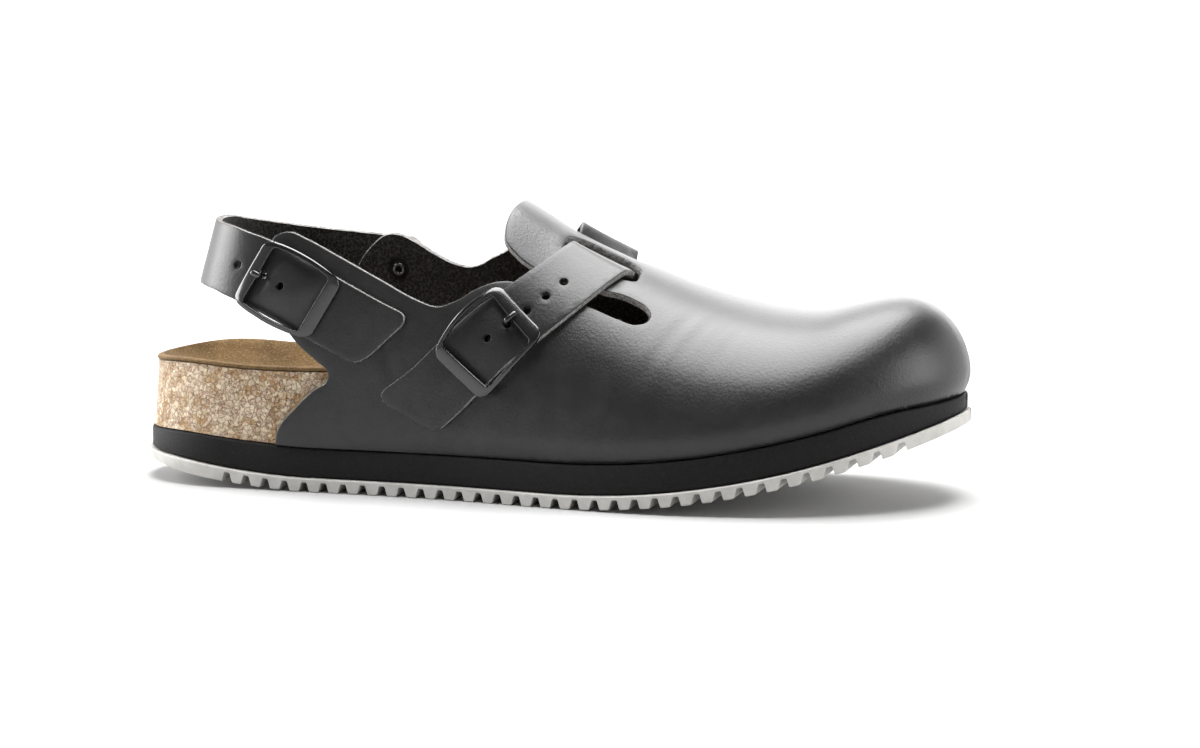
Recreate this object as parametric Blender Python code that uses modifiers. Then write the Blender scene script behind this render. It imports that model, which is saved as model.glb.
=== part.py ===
"""Chef clog, right shoe: leather upper with two buckled straps on a cork footbed and a lugged sole.

Metres, +Z up, +X to the toe, +Y to the inner side of the foot. The origin is on the floor under
the middle of the shoe. Inside the functions x is measured from the back of the heel.
"""
import math

import bmesh
import bpy
import numpy as np
from mathutils import Matrix, Vector
from mathutils.geometry import delaunay_2d_cdt

# Driving sizes
LENGTH = 0.285           # outsole, back of the heel to the tip of the toe
BALL_WIDTH = 0.1058      # outsole at the ball of the foot
HEEL_WIDTH = 0.074       # outsole at the heel
INSTEP_HEIGHT = 0.097    # floor to the top of the tongue
TOE_HEIGHT = 0.0675      # floor to the top of the toe box
GAP = 0.0003             # clearance between pieces that touch

# Sole
OUTSOLE_DEPTH = 0.0046   # lugs and plate together
LUG_DEPTH = 0.0032
LUG_PITCH = 0.00697
LUG_FOOT = 0.0033        # length of a lug where it meets the floor
LUG_ROOT = 0.0052        # length of a lug where it leaves the plate
LUG_CHEVRON = 0.006      # how far the middle of a rib runs ahead of its ends
CHANNEL = 0.0035         # width of the two channels along the tread
CHANNEL_PLACE = 0.38     # their place, share of the half width
HEEL_BAND = 0.0364       # plain tread at the back of the heel
TOE_BAND = 0.0150        # plain tread at the tip of the toe
HEEL_LIFT = 0.0085       # back edge of the tread above the floor
HEEL_BEVEL = 0.068       # length of the bevel under the heel
TOE_SPRING = 0.0262      # tip of the tread above the floor
TOE_ROCKER = 0.133       # length over which the toe rises
MIDSOLE_DEPTH = 0.0098
MIDSOLE_INSET = 0.0013   # step from the side of the outsole
HEEL_ROUND = 0.037       # length over which the heel's outline closes
TOE_ROUND = 0.072        # length over which the toe's outline closes

# Footbed and lining
CORK_INSET = 0.0031      # side of the bare cork, from the side of the outsole
CORK_RIM = 0.0245        # rim of the heel cup above the midsole
CORK_DRAFT = 0.0014      # how far the bare side leans in at its rim
CORK_LIP = 0.0017        # width of the flat lip round the lining
CUP_END = 0.022          # length over which the cup rises to the back and the tip
ARCH_RISE = 0.008        # arch support above the dish
ARCH_PLACE = 0.40        # share of the length
ARCH_REACH = 0.12
LINING = 0.0013

# Upper
WALL = 0.0024
SPINE_TURN = 0.200       # ahead of this the sections of the upper fan out round the toe
SPINE_END = 0.246        # where the crest ends and the toe cap falls away
TUCK_HEIGHT = 0.009      # height over which the lower edge is drawn in
LEATHER_STEP = 0.0072    # spacing of the points on the upper
EDGE_STEP = 0.0046       # spacing of the points along its cut edges

# Straps, buckles and rivets
STRAP = 0.0022           # thickness of both straps
STRAP_WIDTH = 0.0218
HOLE = 0.0026            # diameter of the punched holes
HOLE_SIDES = 10
HEEL_STRAP_HEIGHT = 0.0772   # middle of the strap behind the heel, above the floor
HEEL_STRAP_BACK = 0.0250     # the same point, ahead of the back of the sole
HEEL_STRAP_LEAN = 0.28       # how far the strap leans in for each unit of height
HEEL_STRAP_SIDE = 0.052      # where the strap leaves the sides and turns round the heel
RIVET_HEAD = 0.0090      # diameter
RIVET_SHANK = 0.0032
RIVET_DOME = 0.0014      # height of the head
RIVET_LIP = 0.0003
RIVET_SIDES = 14
RIVET_RING = 0.0046      # diameter of the turned-over end inside
RIVET_BORE = 0.0022      # diameter of the hollow in that end
RIVET_PLACE = 0.0062     # from the riveted end of a strap
HOLE_PITCH = 0.0077      # between the punched holes
STRAP_END = 0.0048       # radius of the corners at the ends
STRAP_STEP = 0.0062      # spacing of the points along a strap
HEEL_STRAP_FULL = 2.1    # fullness of the curve round the heel
LOOP_REACH = 0.118       # how far forward the heel strap's surface goes on
FRAME_PLATE = 0.0047     # width of the plate at the other end
FRAME_SIDE = 0.0017      # width of the two sides
FRAME_BOW = 0.0017       # how far the sides swell between the ends
FRAME_ARCH = 0.0011      # how far the frame rises between its ends
FRAME_THICK = 0.0020
FRAME_RIM = 0.75         # height of the outer edge, share of FRAME_THICK
FRAME_CORNER = 0.24      # rounding of the outer corners, share of half a side
WINDOW_CORNER = 0.12     # rounding of the inner corners
PRONG_WIDE = 0.0017
PRONG_THICK = 0.0011
WELD = 0.00001           # points closer than this are one
END = 0.0006             # share of the length left off at the tips of a loft
SOLE_ROWS = 42           # rows of points along the midsole, the footbed and the lining

# middle: run of the buckle's centre from the strap's free end; long, wide: outer size; bar: width
# of the bar that the prong rests on; foot: from the bar to the prong's foot; holes: their places
# in the row, counted from the prong's; slant: slope of the cut across the strap's free end;
# turn: how far the buckle is turned about its prong's foot, radians
INSTEP_BUCKLE = dict(middle=0.0435, long=0.0303, wide=0.0238, bar=0.0045, foot=0.0020,
                     slant=0.5, turn=0.11, holes=(-1, 0, 1, 2, 3))
HEEL_BUCKLE = dict(middle=0.0421, long=0.0312, wide=0.0213, bar=0.0040, foot=0.0012,
                   slant=0.4, turn=0.0, holes=(-1, 0, 1.34))


def table(names, *rows):
    """A table with named columns; the first column is the place of each row."""
    return dict(zip(names.split(), np.array(rows, dtype=float).T))


def read(tab, name, at):
    """Smooth curve through one column of a table, held level beyond its ends."""
    place = next(iter(tab.values()))
    value = tab[name]
    span = np.diff(place)
    slope = np.diff(value) / span
    bend = np.empty_like(value)
    bend[0], bend[-1] = slope[0], slope[-1]
    bend[1:-1] = (slope[:-1] * span[1:] + slope[1:] * span[:-1]) / (span[1:] + span[:-1])
    at = np.clip(at, place[0], place[-1])
    k = np.clip(np.searchsorted(place, at, side="right") - 1, 0, len(span) - 1)
    t = (at - place[k]) / span[k]
    ends = value[k] * (1 + 2 * t) * (1 - t) ** 2 + value[k + 1] * t * t * (3 - 2 * t)
    return ends + span[k] * (bend[k] * t * (1 - t) ** 2 + bend[k + 1] * t * t * (t - 1))


# along: share of LENGTH; centre: share of BALL_WIDTH; spread: 0 is HEEL_WIDTH, 1 is BALL_WIDTH
OUTLINE = table("along centre spread",
                (0.00, 0.000, -0.09),
                (0.12, 0.000, -0.09),
                (0.19, 0.000, 0.00),
                (0.28, -0.012, -0.02),
                (0.35, -0.026, -0.02),
                (0.42, -0.035, 0.08),
                (0.49, -0.038, 0.31),
                (0.56, -0.033, 0.60),
                (0.63, -0.024, 0.85),
                (0.70, -0.012, 0.99),
                (0.76, 0.002, 1.00),
                (0.86, 0.033, 1.00),
                (0.95, 0.066, 1.00),
                (1.00, 0.080, 1.00))

# outsole: share of OUTSOLE_DEPTH; midsole: share of MIDSOLE_DEPTH; rim and cup: height of the
# footbed's rim and depth inside it, shares of CORK_RIM; inset: share of CORK_INSET
PROFILE = table("along outsole midsole rim cup inset",
                (0.00, 0.42, 0.64, 0.90, 0.40, 0.66),
                (0.06, 0.88, 0.86, 0.94, 0.42, 0.72),
                (0.16, 1.00, 0.99, 0.98, 0.45, 0.96),
                (0.27, 1.00, 1.00, 1.04, 0.46, 1.05),
                (0.40, 1.00, 1.00, 0.94, 0.40, 1.40),
                (0.55, 1.00, 1.00, 0.72, 0.28, 1.60),
                (0.70, 1.00, 1.00, 0.56, 0.20, 1.60),
                (0.85, 1.00, 1.00, 0.50, 0.16, 1.60),
                (0.93, 1.00, 0.93, 0.50, 0.16, 1.60),
                (1.00, 0.92, 0.50, 0.50, 0.16, 1.60))

# rise: crest of the section, 0 is TOE_HEIGHT and 1 is INSTEP_HEIGHT; spine: crest's offset, share
# of BALL_WIDTH; outer, inner: fullness of the two sides; crown: fullness of the top
SECTIONS = table("along rise spine outer inner crown",
                 (0.16, 2.05, 0.000, 3.0, 3.0, 3.0),
                 (0.28, 1.85, 0.005, 2.9, 2.9, 2.9),
                 (0.36, 1.52, 0.014, 2.7, 2.8, 2.6),
                 (0.41, 1.24, 0.022, 2.5, 2.6, 2.3),
                 (0.467, 0.98, 0.030, 2.3, 2.5, 2.1),
                 (0.52, 0.68, 0.036, 2.2, 2.4, 2.0),
                 (0.575, 0.43, 0.042, 2.2, 2.4, 2.0),
                 (0.63, 0.21, 0.048, 2.2, 2.4, 2.05),
                 (0.70, -0.02, 0.056, 2.2, 2.4, 2.1),
                 (0.76, -0.14, 0.062, 2.2, 2.4, 2.2),
                 (0.82, -0.17, 0.068, 2.25, 2.35, 2.3),
                 (0.88, -0.05, 0.074, 2.3, 2.3, 2.4),
                 (0.94, 0.10, 0.080, 2.3, 2.3, 2.4),
                 (1.00, 0.16, 0.080, 2.3, 2.3, 2.4))


def tread(x):
    """Height of the tread's lowest face above the floor."""
    heel = np.clip(1 - x / HEEL_BEVEL, 0, 1) ** 1.7
    toe = np.clip((x - (LENGTH - TOE_ROCKER)) / TOE_ROCKER, 0, 1) ** 2
    return HEEL_LIFT * heel + TOE_SPRING * toe


def outsole_top(x):
    return tread(x) + OUTSOLE_DEPTH * read(PROFILE, "outsole", x / LENGTH)


def midsole_top(x):
    return outsole_top(x) + GAP + MIDSOLE_DEPTH * read(PROFILE, "midsole", x / LENGTH)


def closing(along):
    """Share of the width that is left where the outline rounds off at heel and toe."""
    x = along * LENGTH
    heel = np.clip(1 - x / HEEL_ROUND, 0, 1) ** 2.2
    toe = np.clip((x - (LENGTH - TOE_ROUND)) / TOE_ROUND, 0, 1) ** 2.1
    return np.sqrt(np.clip(1 - heel - toe, 0, 1))


def half_width(along):
    return 0.5 * (HEEL_WIDTH + (BALL_WIDTH - HEEL_WIDTH) * read(OUTLINE, "spread", along))


def outline(along, side, inset):
    """Place over the width of one side of the sole, drawn in by inset, before it is centred."""
    centre = BALL_WIDTH * read(OUTLINE, "centre", along)
    return centre + side * closing(along) * (half_width(along) - inset)


EVEN = np.linspace(0, 1, 600)
AXIS_Y = 0.5 * (outline(EVEN, -1, 0).min() + outline(EVEN, 1, 0).max())


def edge(along, side, inset=0.0):
    """Point of the sole's outline, drawn in by inset; side is -1 outside, 1 inside of the foot."""
    return inset + along * (LENGTH - 2 * inset), outline(along, side, inset) - AXIS_Y


# Length of the half outline up to each share of the shoe's length
HALF = np.hypot(np.diff(EVEN * LENGTH), np.diff(closing(EVEN) * half_width(EVEN)))
RUN = np.concatenate(([0.0], np.cumsum(HALF)))


def crest(x):
    return TOE_HEIGHT + (INSTEP_HEIGHT - TOE_HEIGHT) * read(SECTIONS, "rise", x / LENGTH)


def section(s, side):
    """Sections of the last, each from the crest down to the sole's edge."""
    fx, fy = edge(np.interp(s * RUN[-1], RUN, EVEN), side)
    turn = np.clip((fx - SPINE_TURN) / (LENGTH - SPINE_TURN), 0, 1)
    power = (LENGTH - SPINE_TURN) / (SPINE_END - SPINE_TURN)
    fan = SPINE_TURN + (SPINE_END - SPINE_TURN) * (1 - (1 - turn) ** power)
    cx = np.where(fx < SPINE_TURN, fx, fan)
    cy = BALL_WIDTH * read(SECTIONS, "spine", cx / LENGTH) - AXIS_Y
    full = np.where(side < 0, read(SECTIONS, "outer", fx / LENGTH), read(SECTIONS, "inner", fx / LENGTH))
    crown = read(SECTIONS, "crown", fx / LENGTH)
    angle = np.linspace(0, math.pi / 2, 61)
    out = np.sin(angle) ** (2 / full[..., None])
    base = midsole_top(fx) + GAP
    top = crest(cx[..., None] + out * (fx - cx)[..., None])
    z = base[..., None] + np.cos(angle) ** (2 / crown[..., None]) * (top - base[..., None])
    reach = np.hypot(fx - cx, fy - cy)
    step = np.hypot(np.diff(out * reach[..., None]), np.diff(z))
    girth = np.concatenate((np.zeros(step.shape[:-1] + (1,)), np.cumsum(step, axis=-1)), axis=-1)
    return fx, fy, cx, cy, reach, base, out, z, girth


def last(s, u):
    """Outer face of the upper. s runs along the sole's edge from heel (0) to toe tip (1), u over
    the foot from the outer sole edge (-1) by the crest (0) to the inner sole edge (1)."""
    s, u = np.broadcast_arrays(np.asarray(s, float), np.asarray(u, float))
    s, u = np.where(s > 1, 2 - s, s), np.where(s > 1, -u, u)
    fx, fy, cx, cy, reach, base, out, z, girth = section(s, np.where(u < 0, -1.0, 1.0))
    want = np.abs(u)[..., None] * girth[..., -1:]
    k = np.clip((girth < want).sum(axis=-1, keepdims=True) - 1, 0, girth.shape[-1] - 2)
    low, high = np.take_along_axis(girth, k, -1), np.take_along_axis(girth, k + 1, -1)
    t = ((want - low) / (high - low))[..., 0]
    pick = [np.take_along_axis(a, k + i, -1)[..., 0] for a in (out, z) for i in (0, 1)]
    share = pick[0] + (pick[1] - pick[0]) * t
    height = pick[2] + (pick[3] - pick[2]) * t
    tuck = CORK_INSET * read(PROFILE, "inset", fx / LENGTH) - GAP - WALL
    share = share - tuck / reach * np.clip(1 - (height - base) / TUCK_HEIGHT, 0, 1) ** 2
    return np.stack((cx + share * (fx - cx), cy + share * (fy - cy), height), axis=-1)


def normal(surface, s, u, step=0.002):
    """Outward unit normal of a surface that is given by a function of two values."""
    along = surface(s + step, u) - surface(s - step, u)
    over = surface(s, u + step) - surface(s, u - step)
    n = np.cross(along, over)
    return n / np.linalg.norm(n, axis=-1, keepdims=True)


def pattern(s, u):
    """Flat pattern of the upper: each section unrolled from the crest in its own direction."""
    fx, fy, cx, cy, reach, base, out, z, girth = section(s, np.where(u < 0, -1.0, 1.0))
    run = np.abs(u) * girth[..., -1] / reach
    return np.stack((cx + run * (fx - cx), cy + run * (fy - cy)), axis=-1)


# Cut edges of the upper in s and u, each a smooth curve through its rows
EDGES = {
    "outer wing": ((0.228, -1.000), (0.231, -0.960), (0.249, -0.900), (0.269, -0.848), (0.284, -0.818),
                   (0.285, -0.797), (0.272, -0.768), (0.251, -0.725), (0.232, -0.655), (0.221, -0.560),
                   (0.219, -0.500), (0.226, -0.457), (0.242, -0.440), (0.260, -0.453), (0.290, -0.483),
                   (0.340, -0.528), (0.375, -0.556), (0.397, -0.560), (0.417, -0.528), (0.441, -0.466),
                   (0.460, -0.430), (0.485, -0.408), (0.520, -0.412), (0.557, -0.426), (0.585, -0.450),
                   (0.604, -0.460), (0.614, -0.438), (0.616, -0.398), (0.610, -0.360), (0.594, -0.334),
                   (0.560, -0.334), (0.520, -0.340), (0.490, -0.336), (0.473, -0.316), (0.460, -0.283),
                   (0.457, -0.240), (0.456, -0.170), (0.457, -0.090), (0.457, 0.000), (0.456, 0.090),
                   (0.453, 0.180), (0.445, 0.270), (0.424, 0.365), (0.404, 0.425), (0.388, 0.473),
                   (0.375, 0.494), (0.360, 0.498), (0.340, 0.488), (0.321, 0.472), (0.302, 0.462),
                   (0.287, 0.471), (0.272, 0.505), (0.253, 0.578), (0.246, 0.650), (0.254, 0.715),
                   (0.273, 0.768), (0.285, 0.797), (0.283, 0.820), (0.267, 0.852), (0.248, 0.900),
                   (0.232, 0.960), (0.228, 1.000)),
    "outer slot": ((0.512, -0.150), (0.513, -0.095), (0.520, -0.062), (0.535, -0.042), (0.557, -0.040),
                   (0.578, -0.052), (0.588, -0.090), (0.591, -0.150), (0.590, -0.215), (0.570, -0.237),
                   (0.545, -0.238), (0.527, -0.228), (0.514, -0.200)),
    "inner slot": ((0.492, 0.150), (0.496, 0.205), (0.512, 0.230), (0.536, 0.238), (0.561, 0.237),
                   (0.583, 0.215), (0.588, 0.150), (0.589, 0.088), (0.582, 0.042), (0.556, 0.026),
                   (0.524, 0.026), (0.501, 0.046), (0.493, 0.095)),
}

# Middle lines of the straps from the free end on. The instep strap's is in s and u, with its
# height above (1) or under (-1) the upper's wall; the heel strap's is in shares of HEEL_WIDTH round
# the heel from its back, and of HEEL_STRAP_HEIGHT
INSTEP_PATH = table("step s u over",
                    (0, 0.357, -0.917, 1.0),
                    (1, 0.395, -0.830, 1.0),
                    (2, 0.425, -0.735, 1.0),
                    (3, 0.455, -0.630, 1.0),
                    (4, 0.483, -0.543, 1.0),
                    (5, 0.509, -0.445, 1.0),
                    (6, 0.528, -0.352, 1.0),
                    (7, 0.541, -0.260, 1.0),
                    (8, 0.549, -0.187, 1.0),
                    (9, 0.552, -0.128, 0.0),
                    (10, 0.552, -0.076, -1.0),
                    (11, 0.545, 0.062, -1.0),
                    (12, 0.541, 0.108, 0.0),
                    (13, 0.535, 0.155, 1.5),
                    (14, 0.527, 0.220, 1.5),
                    (15, 0.512, 0.330, 1.0),
                    (16, 0.494, 0.435, 1.0),
                    (17, 0.472, 0.540, 1.0),
                    (18, 0.452, 0.620, 1.0))

HEEL_PATH = table("step round height",
                  (0, -1.325, 0.656),
                  (1, -1.180, 0.716),
                  (2, -1.000, 0.799),
                  (3, -0.800, 0.890),
                  (4, -0.665, 0.948),
                  (5, -0.540, 0.985),
                  (6, -0.380, 1.010),
                  (7, 0.000, 1.010),
                  (8, 0.200, 0.984),
                  (9, 0.540, 0.932),
                  (10, 0.810, 0.911),
                  (11, 1.040, 0.897),
                  (12, 1.135, 0.893))


def chain(points):
    """Smooth closed or open curve through rows of values, as many samples as its length asks."""
    rows = np.array(points)
    step = np.concatenate(([0.0], np.cumsum(np.linalg.norm(np.diff(pattern(*rows.T), axis=0), axis=1))))
    tab = dict(zip(("step", "s", "u"), (step, rows[:, 0], rows[:, 1])))
    at = np.linspace(0, step[-1], max(int(round(step[-1] / EDGE_STEP)), 2) + 1)
    return np.stack((read(tab, "s", at), read(tab, "u", at)), axis=-1)


def inside(loop, points):
    """Which points lie inside a closed loop of the flat pattern."""
    a, b = loop, np.roll(loop, -1, axis=0)
    x, y = points[:, None, 0], points[:, None, 1]
    crosses = (a[:, 1] > y) != (b[:, 1] > y)
    run = np.where(a[:, 1] == b[:, 1], 1.0, b[:, 1] - a[:, 1])
    return ((crosses & (x < a[:, 0] + (y - a[:, 1]) * (b[:, 0] - a[:, 0]) / run)).sum(axis=1) % 2) == 1


def collection(name):
    group = bpy.data.collections.new(name)
    bpy.context.scene.collection.children.link(group)
    return group


def finish(name, colour, roughness, metallic=0.0):
    material = bpy.data.materials.new(name)
    material.use_nodes = True
    shader = material.node_tree.nodes["Principled BSDF"]
    shader.inputs["Base Color"].default_value = (*colour, 1.0)
    shader.inputs["Roughness"].default_value = roughness
    shader.inputs["Metallic"].default_value = metallic
    return material


def piece(name, points, faces, material, group):
    """Mesh object with its faces turned outwards; points are measured from the back of the heel."""
    mesh = bpy.data.meshes.new(name)
    mesh.from_pydata((np.asarray(points) - (LENGTH / 2, 0, 0)).tolist(), [], faces)
    shape = bmesh.new()
    shape.from_mesh(mesh)
    bmesh.ops.remove_doubles(shape, verts=shape.verts, dist=WELD)
    bmesh.ops.recalc_face_normals(shape, faces=shape.faces)
    shape.to_mesh(mesh)
    shape.free()
    obj = bpy.data.objects.new(name, mesh)
    obj.data.materials.append(material)
    group.objects.link(obj)
    return obj


def loft(name, rings, material, group):
    """Solid through closed rings of equally many points, capped at both ends."""
    rings = np.asarray(rings)
    count, around = rings.shape[:2]
    faces = [[i * around + j, i * around + (j + 1) % around,
              (i + 1) * around + (j + 1) % around, (i + 1) * around + j]
             for i in range(count - 1) for j in range(around)]
    faces += [list(range(around)), [(count - 1) * around + j for j in range(around)]]
    return piece(name, rings.reshape(-1, 3), faces, material, group)


def stations(count):
    """Shares of the length at even steps along the sole's outline."""
    return np.clip(np.interp(np.linspace(0, RUN[-1], count), RUN, EVEN), END, 1 - END)


def across(along, shares, inset):
    """Rows of points over the width at each station, between the two edges."""
    x, outer = edge(along, -1, inset)
    inner = edge(along, 1, inset)[1]
    y = outer[:, None] + (inner - outer)[:, None] * (np.asarray(shares) + 1) / 2
    return np.broadcast_to(x[:, None], y.shape), y


def outsole(material, group):
    flank = (LUG_ROOT - LUG_FOOT) / 2
    room = LENGTH - HEEL_BAND - TOE_BAND - 2 * flank
    groove = LUG_PITCH - LUG_ROOT
    count = int(round((room - groove) / LUG_PITCH))
    pitch = (room - groove) / count
    heel = HEEL_BAND * (1 - np.cos(np.linspace(0, math.pi / 2, 10)))
    toe = LENGTH - TOE_BAND * (1 - np.sin(np.linspace(0, math.pi / 2, 9)))
    rows = [(x, 0.0, 0.0) for x in heel] + [(HEEL_BAND + flank, 1.0, 0.0)]
    for i in range(count):
        start = HEEL_BAND + flank + groove + i * pitch
        for x, cut in ((0, 1), (flank, 0), (flank + LUG_FOOT, 0), (LUG_ROOT, 1)):
            rows.append((start + x, float(cut), 1.0 - cut))
    rows += [(LENGTH - TOE_BAND - flank, 1.0, 0.0)] + [(x, 0.0, 0.0) for x in toe]
    place, cut, lug = np.array(rows).T
    along = np.clip(place / LENGTH, END, 1 - END)
    half = CHANNEL / BALL_WIDTH
    side = [CHANNEL_PLACE + d for d in (-half, 0, half)] + [1]
    shares = np.array([-c for c in side[::-1]] + [0] + side)
    channel = np.array([0, 0, 1, 0, 0, 0, 1, 0, 0])
    x, y = across(along, shares, 0.0)
    ramp = np.clip(place / HEEL_BAND, 0, 1) ** 2 * np.clip((LENGTH - place) / TOE_BAND, 0, 1)
    x = x + LUG_CHEVRON * ramp[:, None] * (shares == 0)
    depth = np.maximum(cut[:, None], lug[:, None] * channel)
    z = tread(x) + LUG_DEPTH * depth
    bottom = np.stack((x, y, z), axis=-1)
    ex, ey = across(along, (1, -1), 0.0)
    top = np.stack((ex, ey, outsole_top(ex)), axis=-1)
    return loft("outsole", np.concatenate((bottom, top), axis=1), material, group)


def midsole(material, group):
    along = stations(SOLE_ROWS)
    lx, ly = across(along, (-1, 1), MIDSOLE_INSET)
    ux, uy = across(along, (1, -1), MIDSOLE_INSET)
    low = np.stack((lx, ly, outsole_top(lx) + GAP), axis=-1)
    high = np.stack((ux, uy, midsole_top(ux)), axis=-1)
    return loft("midsole", np.concatenate((low, high), axis=1), material, group)


def cork_inset(along):
    return CORK_INSET * read(PROFILE, "inset", along)


def rim(x):
    return midsole_top(x) + GAP + CORK_RIM * read(PROFILE, "rim", x / LENGTH)


def dish(along, shares):
    """Rows of points on the cork inside its lip: a cup at the heel, an arch, a shallow forefoot."""
    x, y = across(along, shares, cork_inset(along) + CORK_DRAFT + CORK_LIP)
    tip = np.minimum(along, 1 - along) * LENGTH / CUP_END
    deep = CORK_RIM * read(PROFILE, "cup", along) * (1 - np.clip(1 - tip, 0, 1) ** 3)
    shares = np.asarray(shares)
    hollow = 1 - np.abs(shares) ** 3
    arch = ARCH_RISE * np.exp(-((along - ARCH_PLACE) / ARCH_REACH) ** 2)
    lift = np.clip(shares, 0, 1) * (1 - np.abs(shares))
    z = rim(x) - deep[:, None] * hollow + arch[:, None] * lift
    return np.stack((x, y, z), axis=-1)


DISH_SHARES = np.array((-1, -0.88, -0.66, -0.34, 0, 0.34, 0.66, 0.88, 1))


def footbed(material, group):
    along = stations(SOLE_ROWS)
    x, y = across(along, (-1, 1), cork_inset(along))
    low = np.stack((x, y, midsole_top(x) + GAP), axis=-1)
    x, y = across(along, (1, -1), cork_inset(along) + CORK_DRAFT)
    lip = np.stack((x, y, rim(x)), axis=-1)
    rings = np.concatenate((low, lip[:, :1], dish(along, DISH_SHARES[::-1]), lip[:, 1:]), axis=1)
    blank = np.linspace(lip[:, 0], lip[:, 1], len(DISH_SHARES) + 2, axis=1)
    ends = np.concatenate((low, blank), axis=1)
    return loft("footbed", np.concatenate((ends[:1], rings, ends[-1:])), material, group)


def insole(material, group):
    low = dish(stations(SOLE_ROWS), DISH_SHARES) + (0, 0, GAP)
    high = low[:, ::-1] + (0, 0, LINING)
    return loft("insole", np.concatenate((low, high), axis=1), material, group)


def upper(material, group):
    """Leather shell: its flat pattern is meshed between the cut edges, then laid on the last."""
    rear = EDGES["outer wing"]
    front = [(s, -1.0) for s in np.linspace(rear[0][0], 1, 64)]
    back = [(s, 1.0) for s in np.linspace(1, rear[-1][0], 64)]
    loops = [np.concatenate((chain(rear)[:-1], np.array(back[:0:-1])[:-1], np.array(front[:0:-1])))]
    loops += [chain(EDGES[name] + EDGES[name][:1])[:-1] for name in ("outer slot", "inner slot")]
    flat = [pattern(*loop.T) for loop in loops]
    fixed = np.concatenate(loops)
    solid = last(*fixed.T)
    s = np.arange(rear[0][0], 1.0, LEATHER_STEP / RUN[-1])
    rows = [(a, b) for a in s for b in np.linspace(-1, 1, 2 * int(0.085 / LEATHER_STEP) + 1)[1:-1]]
    rows = np.array(rows)
    spots, where = pattern(*rows.T), last(*rows.T)
    keep = inside(flat[0], spots) & ~inside(flat[1], spots) & ~inside(flat[2], spots)
    chosen, taken = [], list(solid)
    for row, point in zip(rows[keep], where[keep]):
        near = np.linalg.norm(np.array(taken) - point, axis=1)
        if near[:len(solid)].min() > 0.62 * LEATHER_STEP and near.min() > 0.72 * LEATHER_STEP:
            chosen.append(row)
            taken.append(point)
    everything = np.concatenate((fixed, np.array(chosen)))
    spots = pattern(*everything.T)
    rims, start = [], 0
    for loop in loops:
        rims += [(start + i, start + (i + 1) % len(loop)) for i in range(len(loop))]
        start += len(loop)
    verts, _, faces, source, _, _ = delaunay_2d_cdt([Vector(p) for p in spots], rims, [], 0, 1e-9)
    assert len(verts) == len(spots)
    centre = np.array([np.mean([verts[i] for i in face], axis=0) for face in faces])
    keep = inside(flat[0], centre) & ~inside(flat[1], centre) & ~inside(flat[2], centre)
    shell = [list(face) for face, ok in zip(faces, keep) if ok]
    order = [group_[0] for group_ in source]
    obj = piece("upper", last(*everything[order].T), shell, material, group)
    wall = obj.modifiers.new("wall", "SOLIDIFY")
    wall.thickness = WALL
    wall.offset = -1
    return obj


def centre_line(tab, *names):
    """Middle line of a strap as a function of the run along it, and its whole length."""
    steps = np.linspace(0, tab["step"][-1], 240)
    return steps, [read(tab, name, steps) for name in names]


def instep(a, b, h):
    """Point of the instep strap: run from its free end, place over its width, height above the
    outer face of the upper at the middle line's own height."""
    steps, (s, u, over) = centre_line(INSTEP_PATH, "s", "u", "over")
    line = last(s, u)
    run = np.concatenate(([0.0], np.cumsum(np.linalg.norm(np.diff(line, axis=0), axis=1))))
    at = [np.interp(a, run, value) for value in (s, u, over)]
    eps = 0.002
    ds = (last(at[0] + eps, at[1]) - last(at[0] - eps, at[1])) / (2 * eps)
    du = (last(at[0], at[1] + eps) - last(at[0], at[1] - eps)) / (2 * eps)
    lead = [np.interp(a + eps, run, value) - np.interp(a - eps, run, value) for value in (s, u)]
    forward = ds * lead[0][..., None] + du * lead[1][..., None]
    n = normal(last, at[0], at[1])
    aside = np.cross(n, forward)
    aside *= (np.asarray(b)[..., None] / np.linalg.norm(aside, axis=-1, keepdims=True))
    ss, su, uu = (ds * ds).sum(-1), (ds * du).sum(-1), (du * du).sum(-1)
    sb, ub = (ds * aside).sum(-1), (du * aside).sum(-1)
    room = ss * uu - su * su
    s2, u2 = at[0] + (sb * uu - ub * su) / room, at[1] + (ub * ss - sb * su) / room
    lift = (WALL + STRAP) / 2 * (at[2] - 1) + GAP * at[2]
    return last(s2, u2) + normal(last, s2, u2) * (lift + h)[..., None]


def side_y(x, z, side):
    """Half of the upper's section at a height, from the middle to one side."""
    s = np.interp(x / LENGTH, EVEN, RUN) / RUN[-1]
    fx, fy = edge(x / LENGTH, side)
    cy = BALL_WIDTH * read(SECTIONS, "spine", x / LENGTH) - AXIS_Y
    full = read(SECTIONS, "outer" if side < 0 else "inner", x / LENGTH)
    base = midsole_top(x) + GAP
    tall = np.clip((z - base) / (crest(x) - base), 0, 1)
    return cy + (fy - cy) * (1 - tall ** read(SECTIONS, "crown", x / LENGTH)) ** (1 / full)


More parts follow.
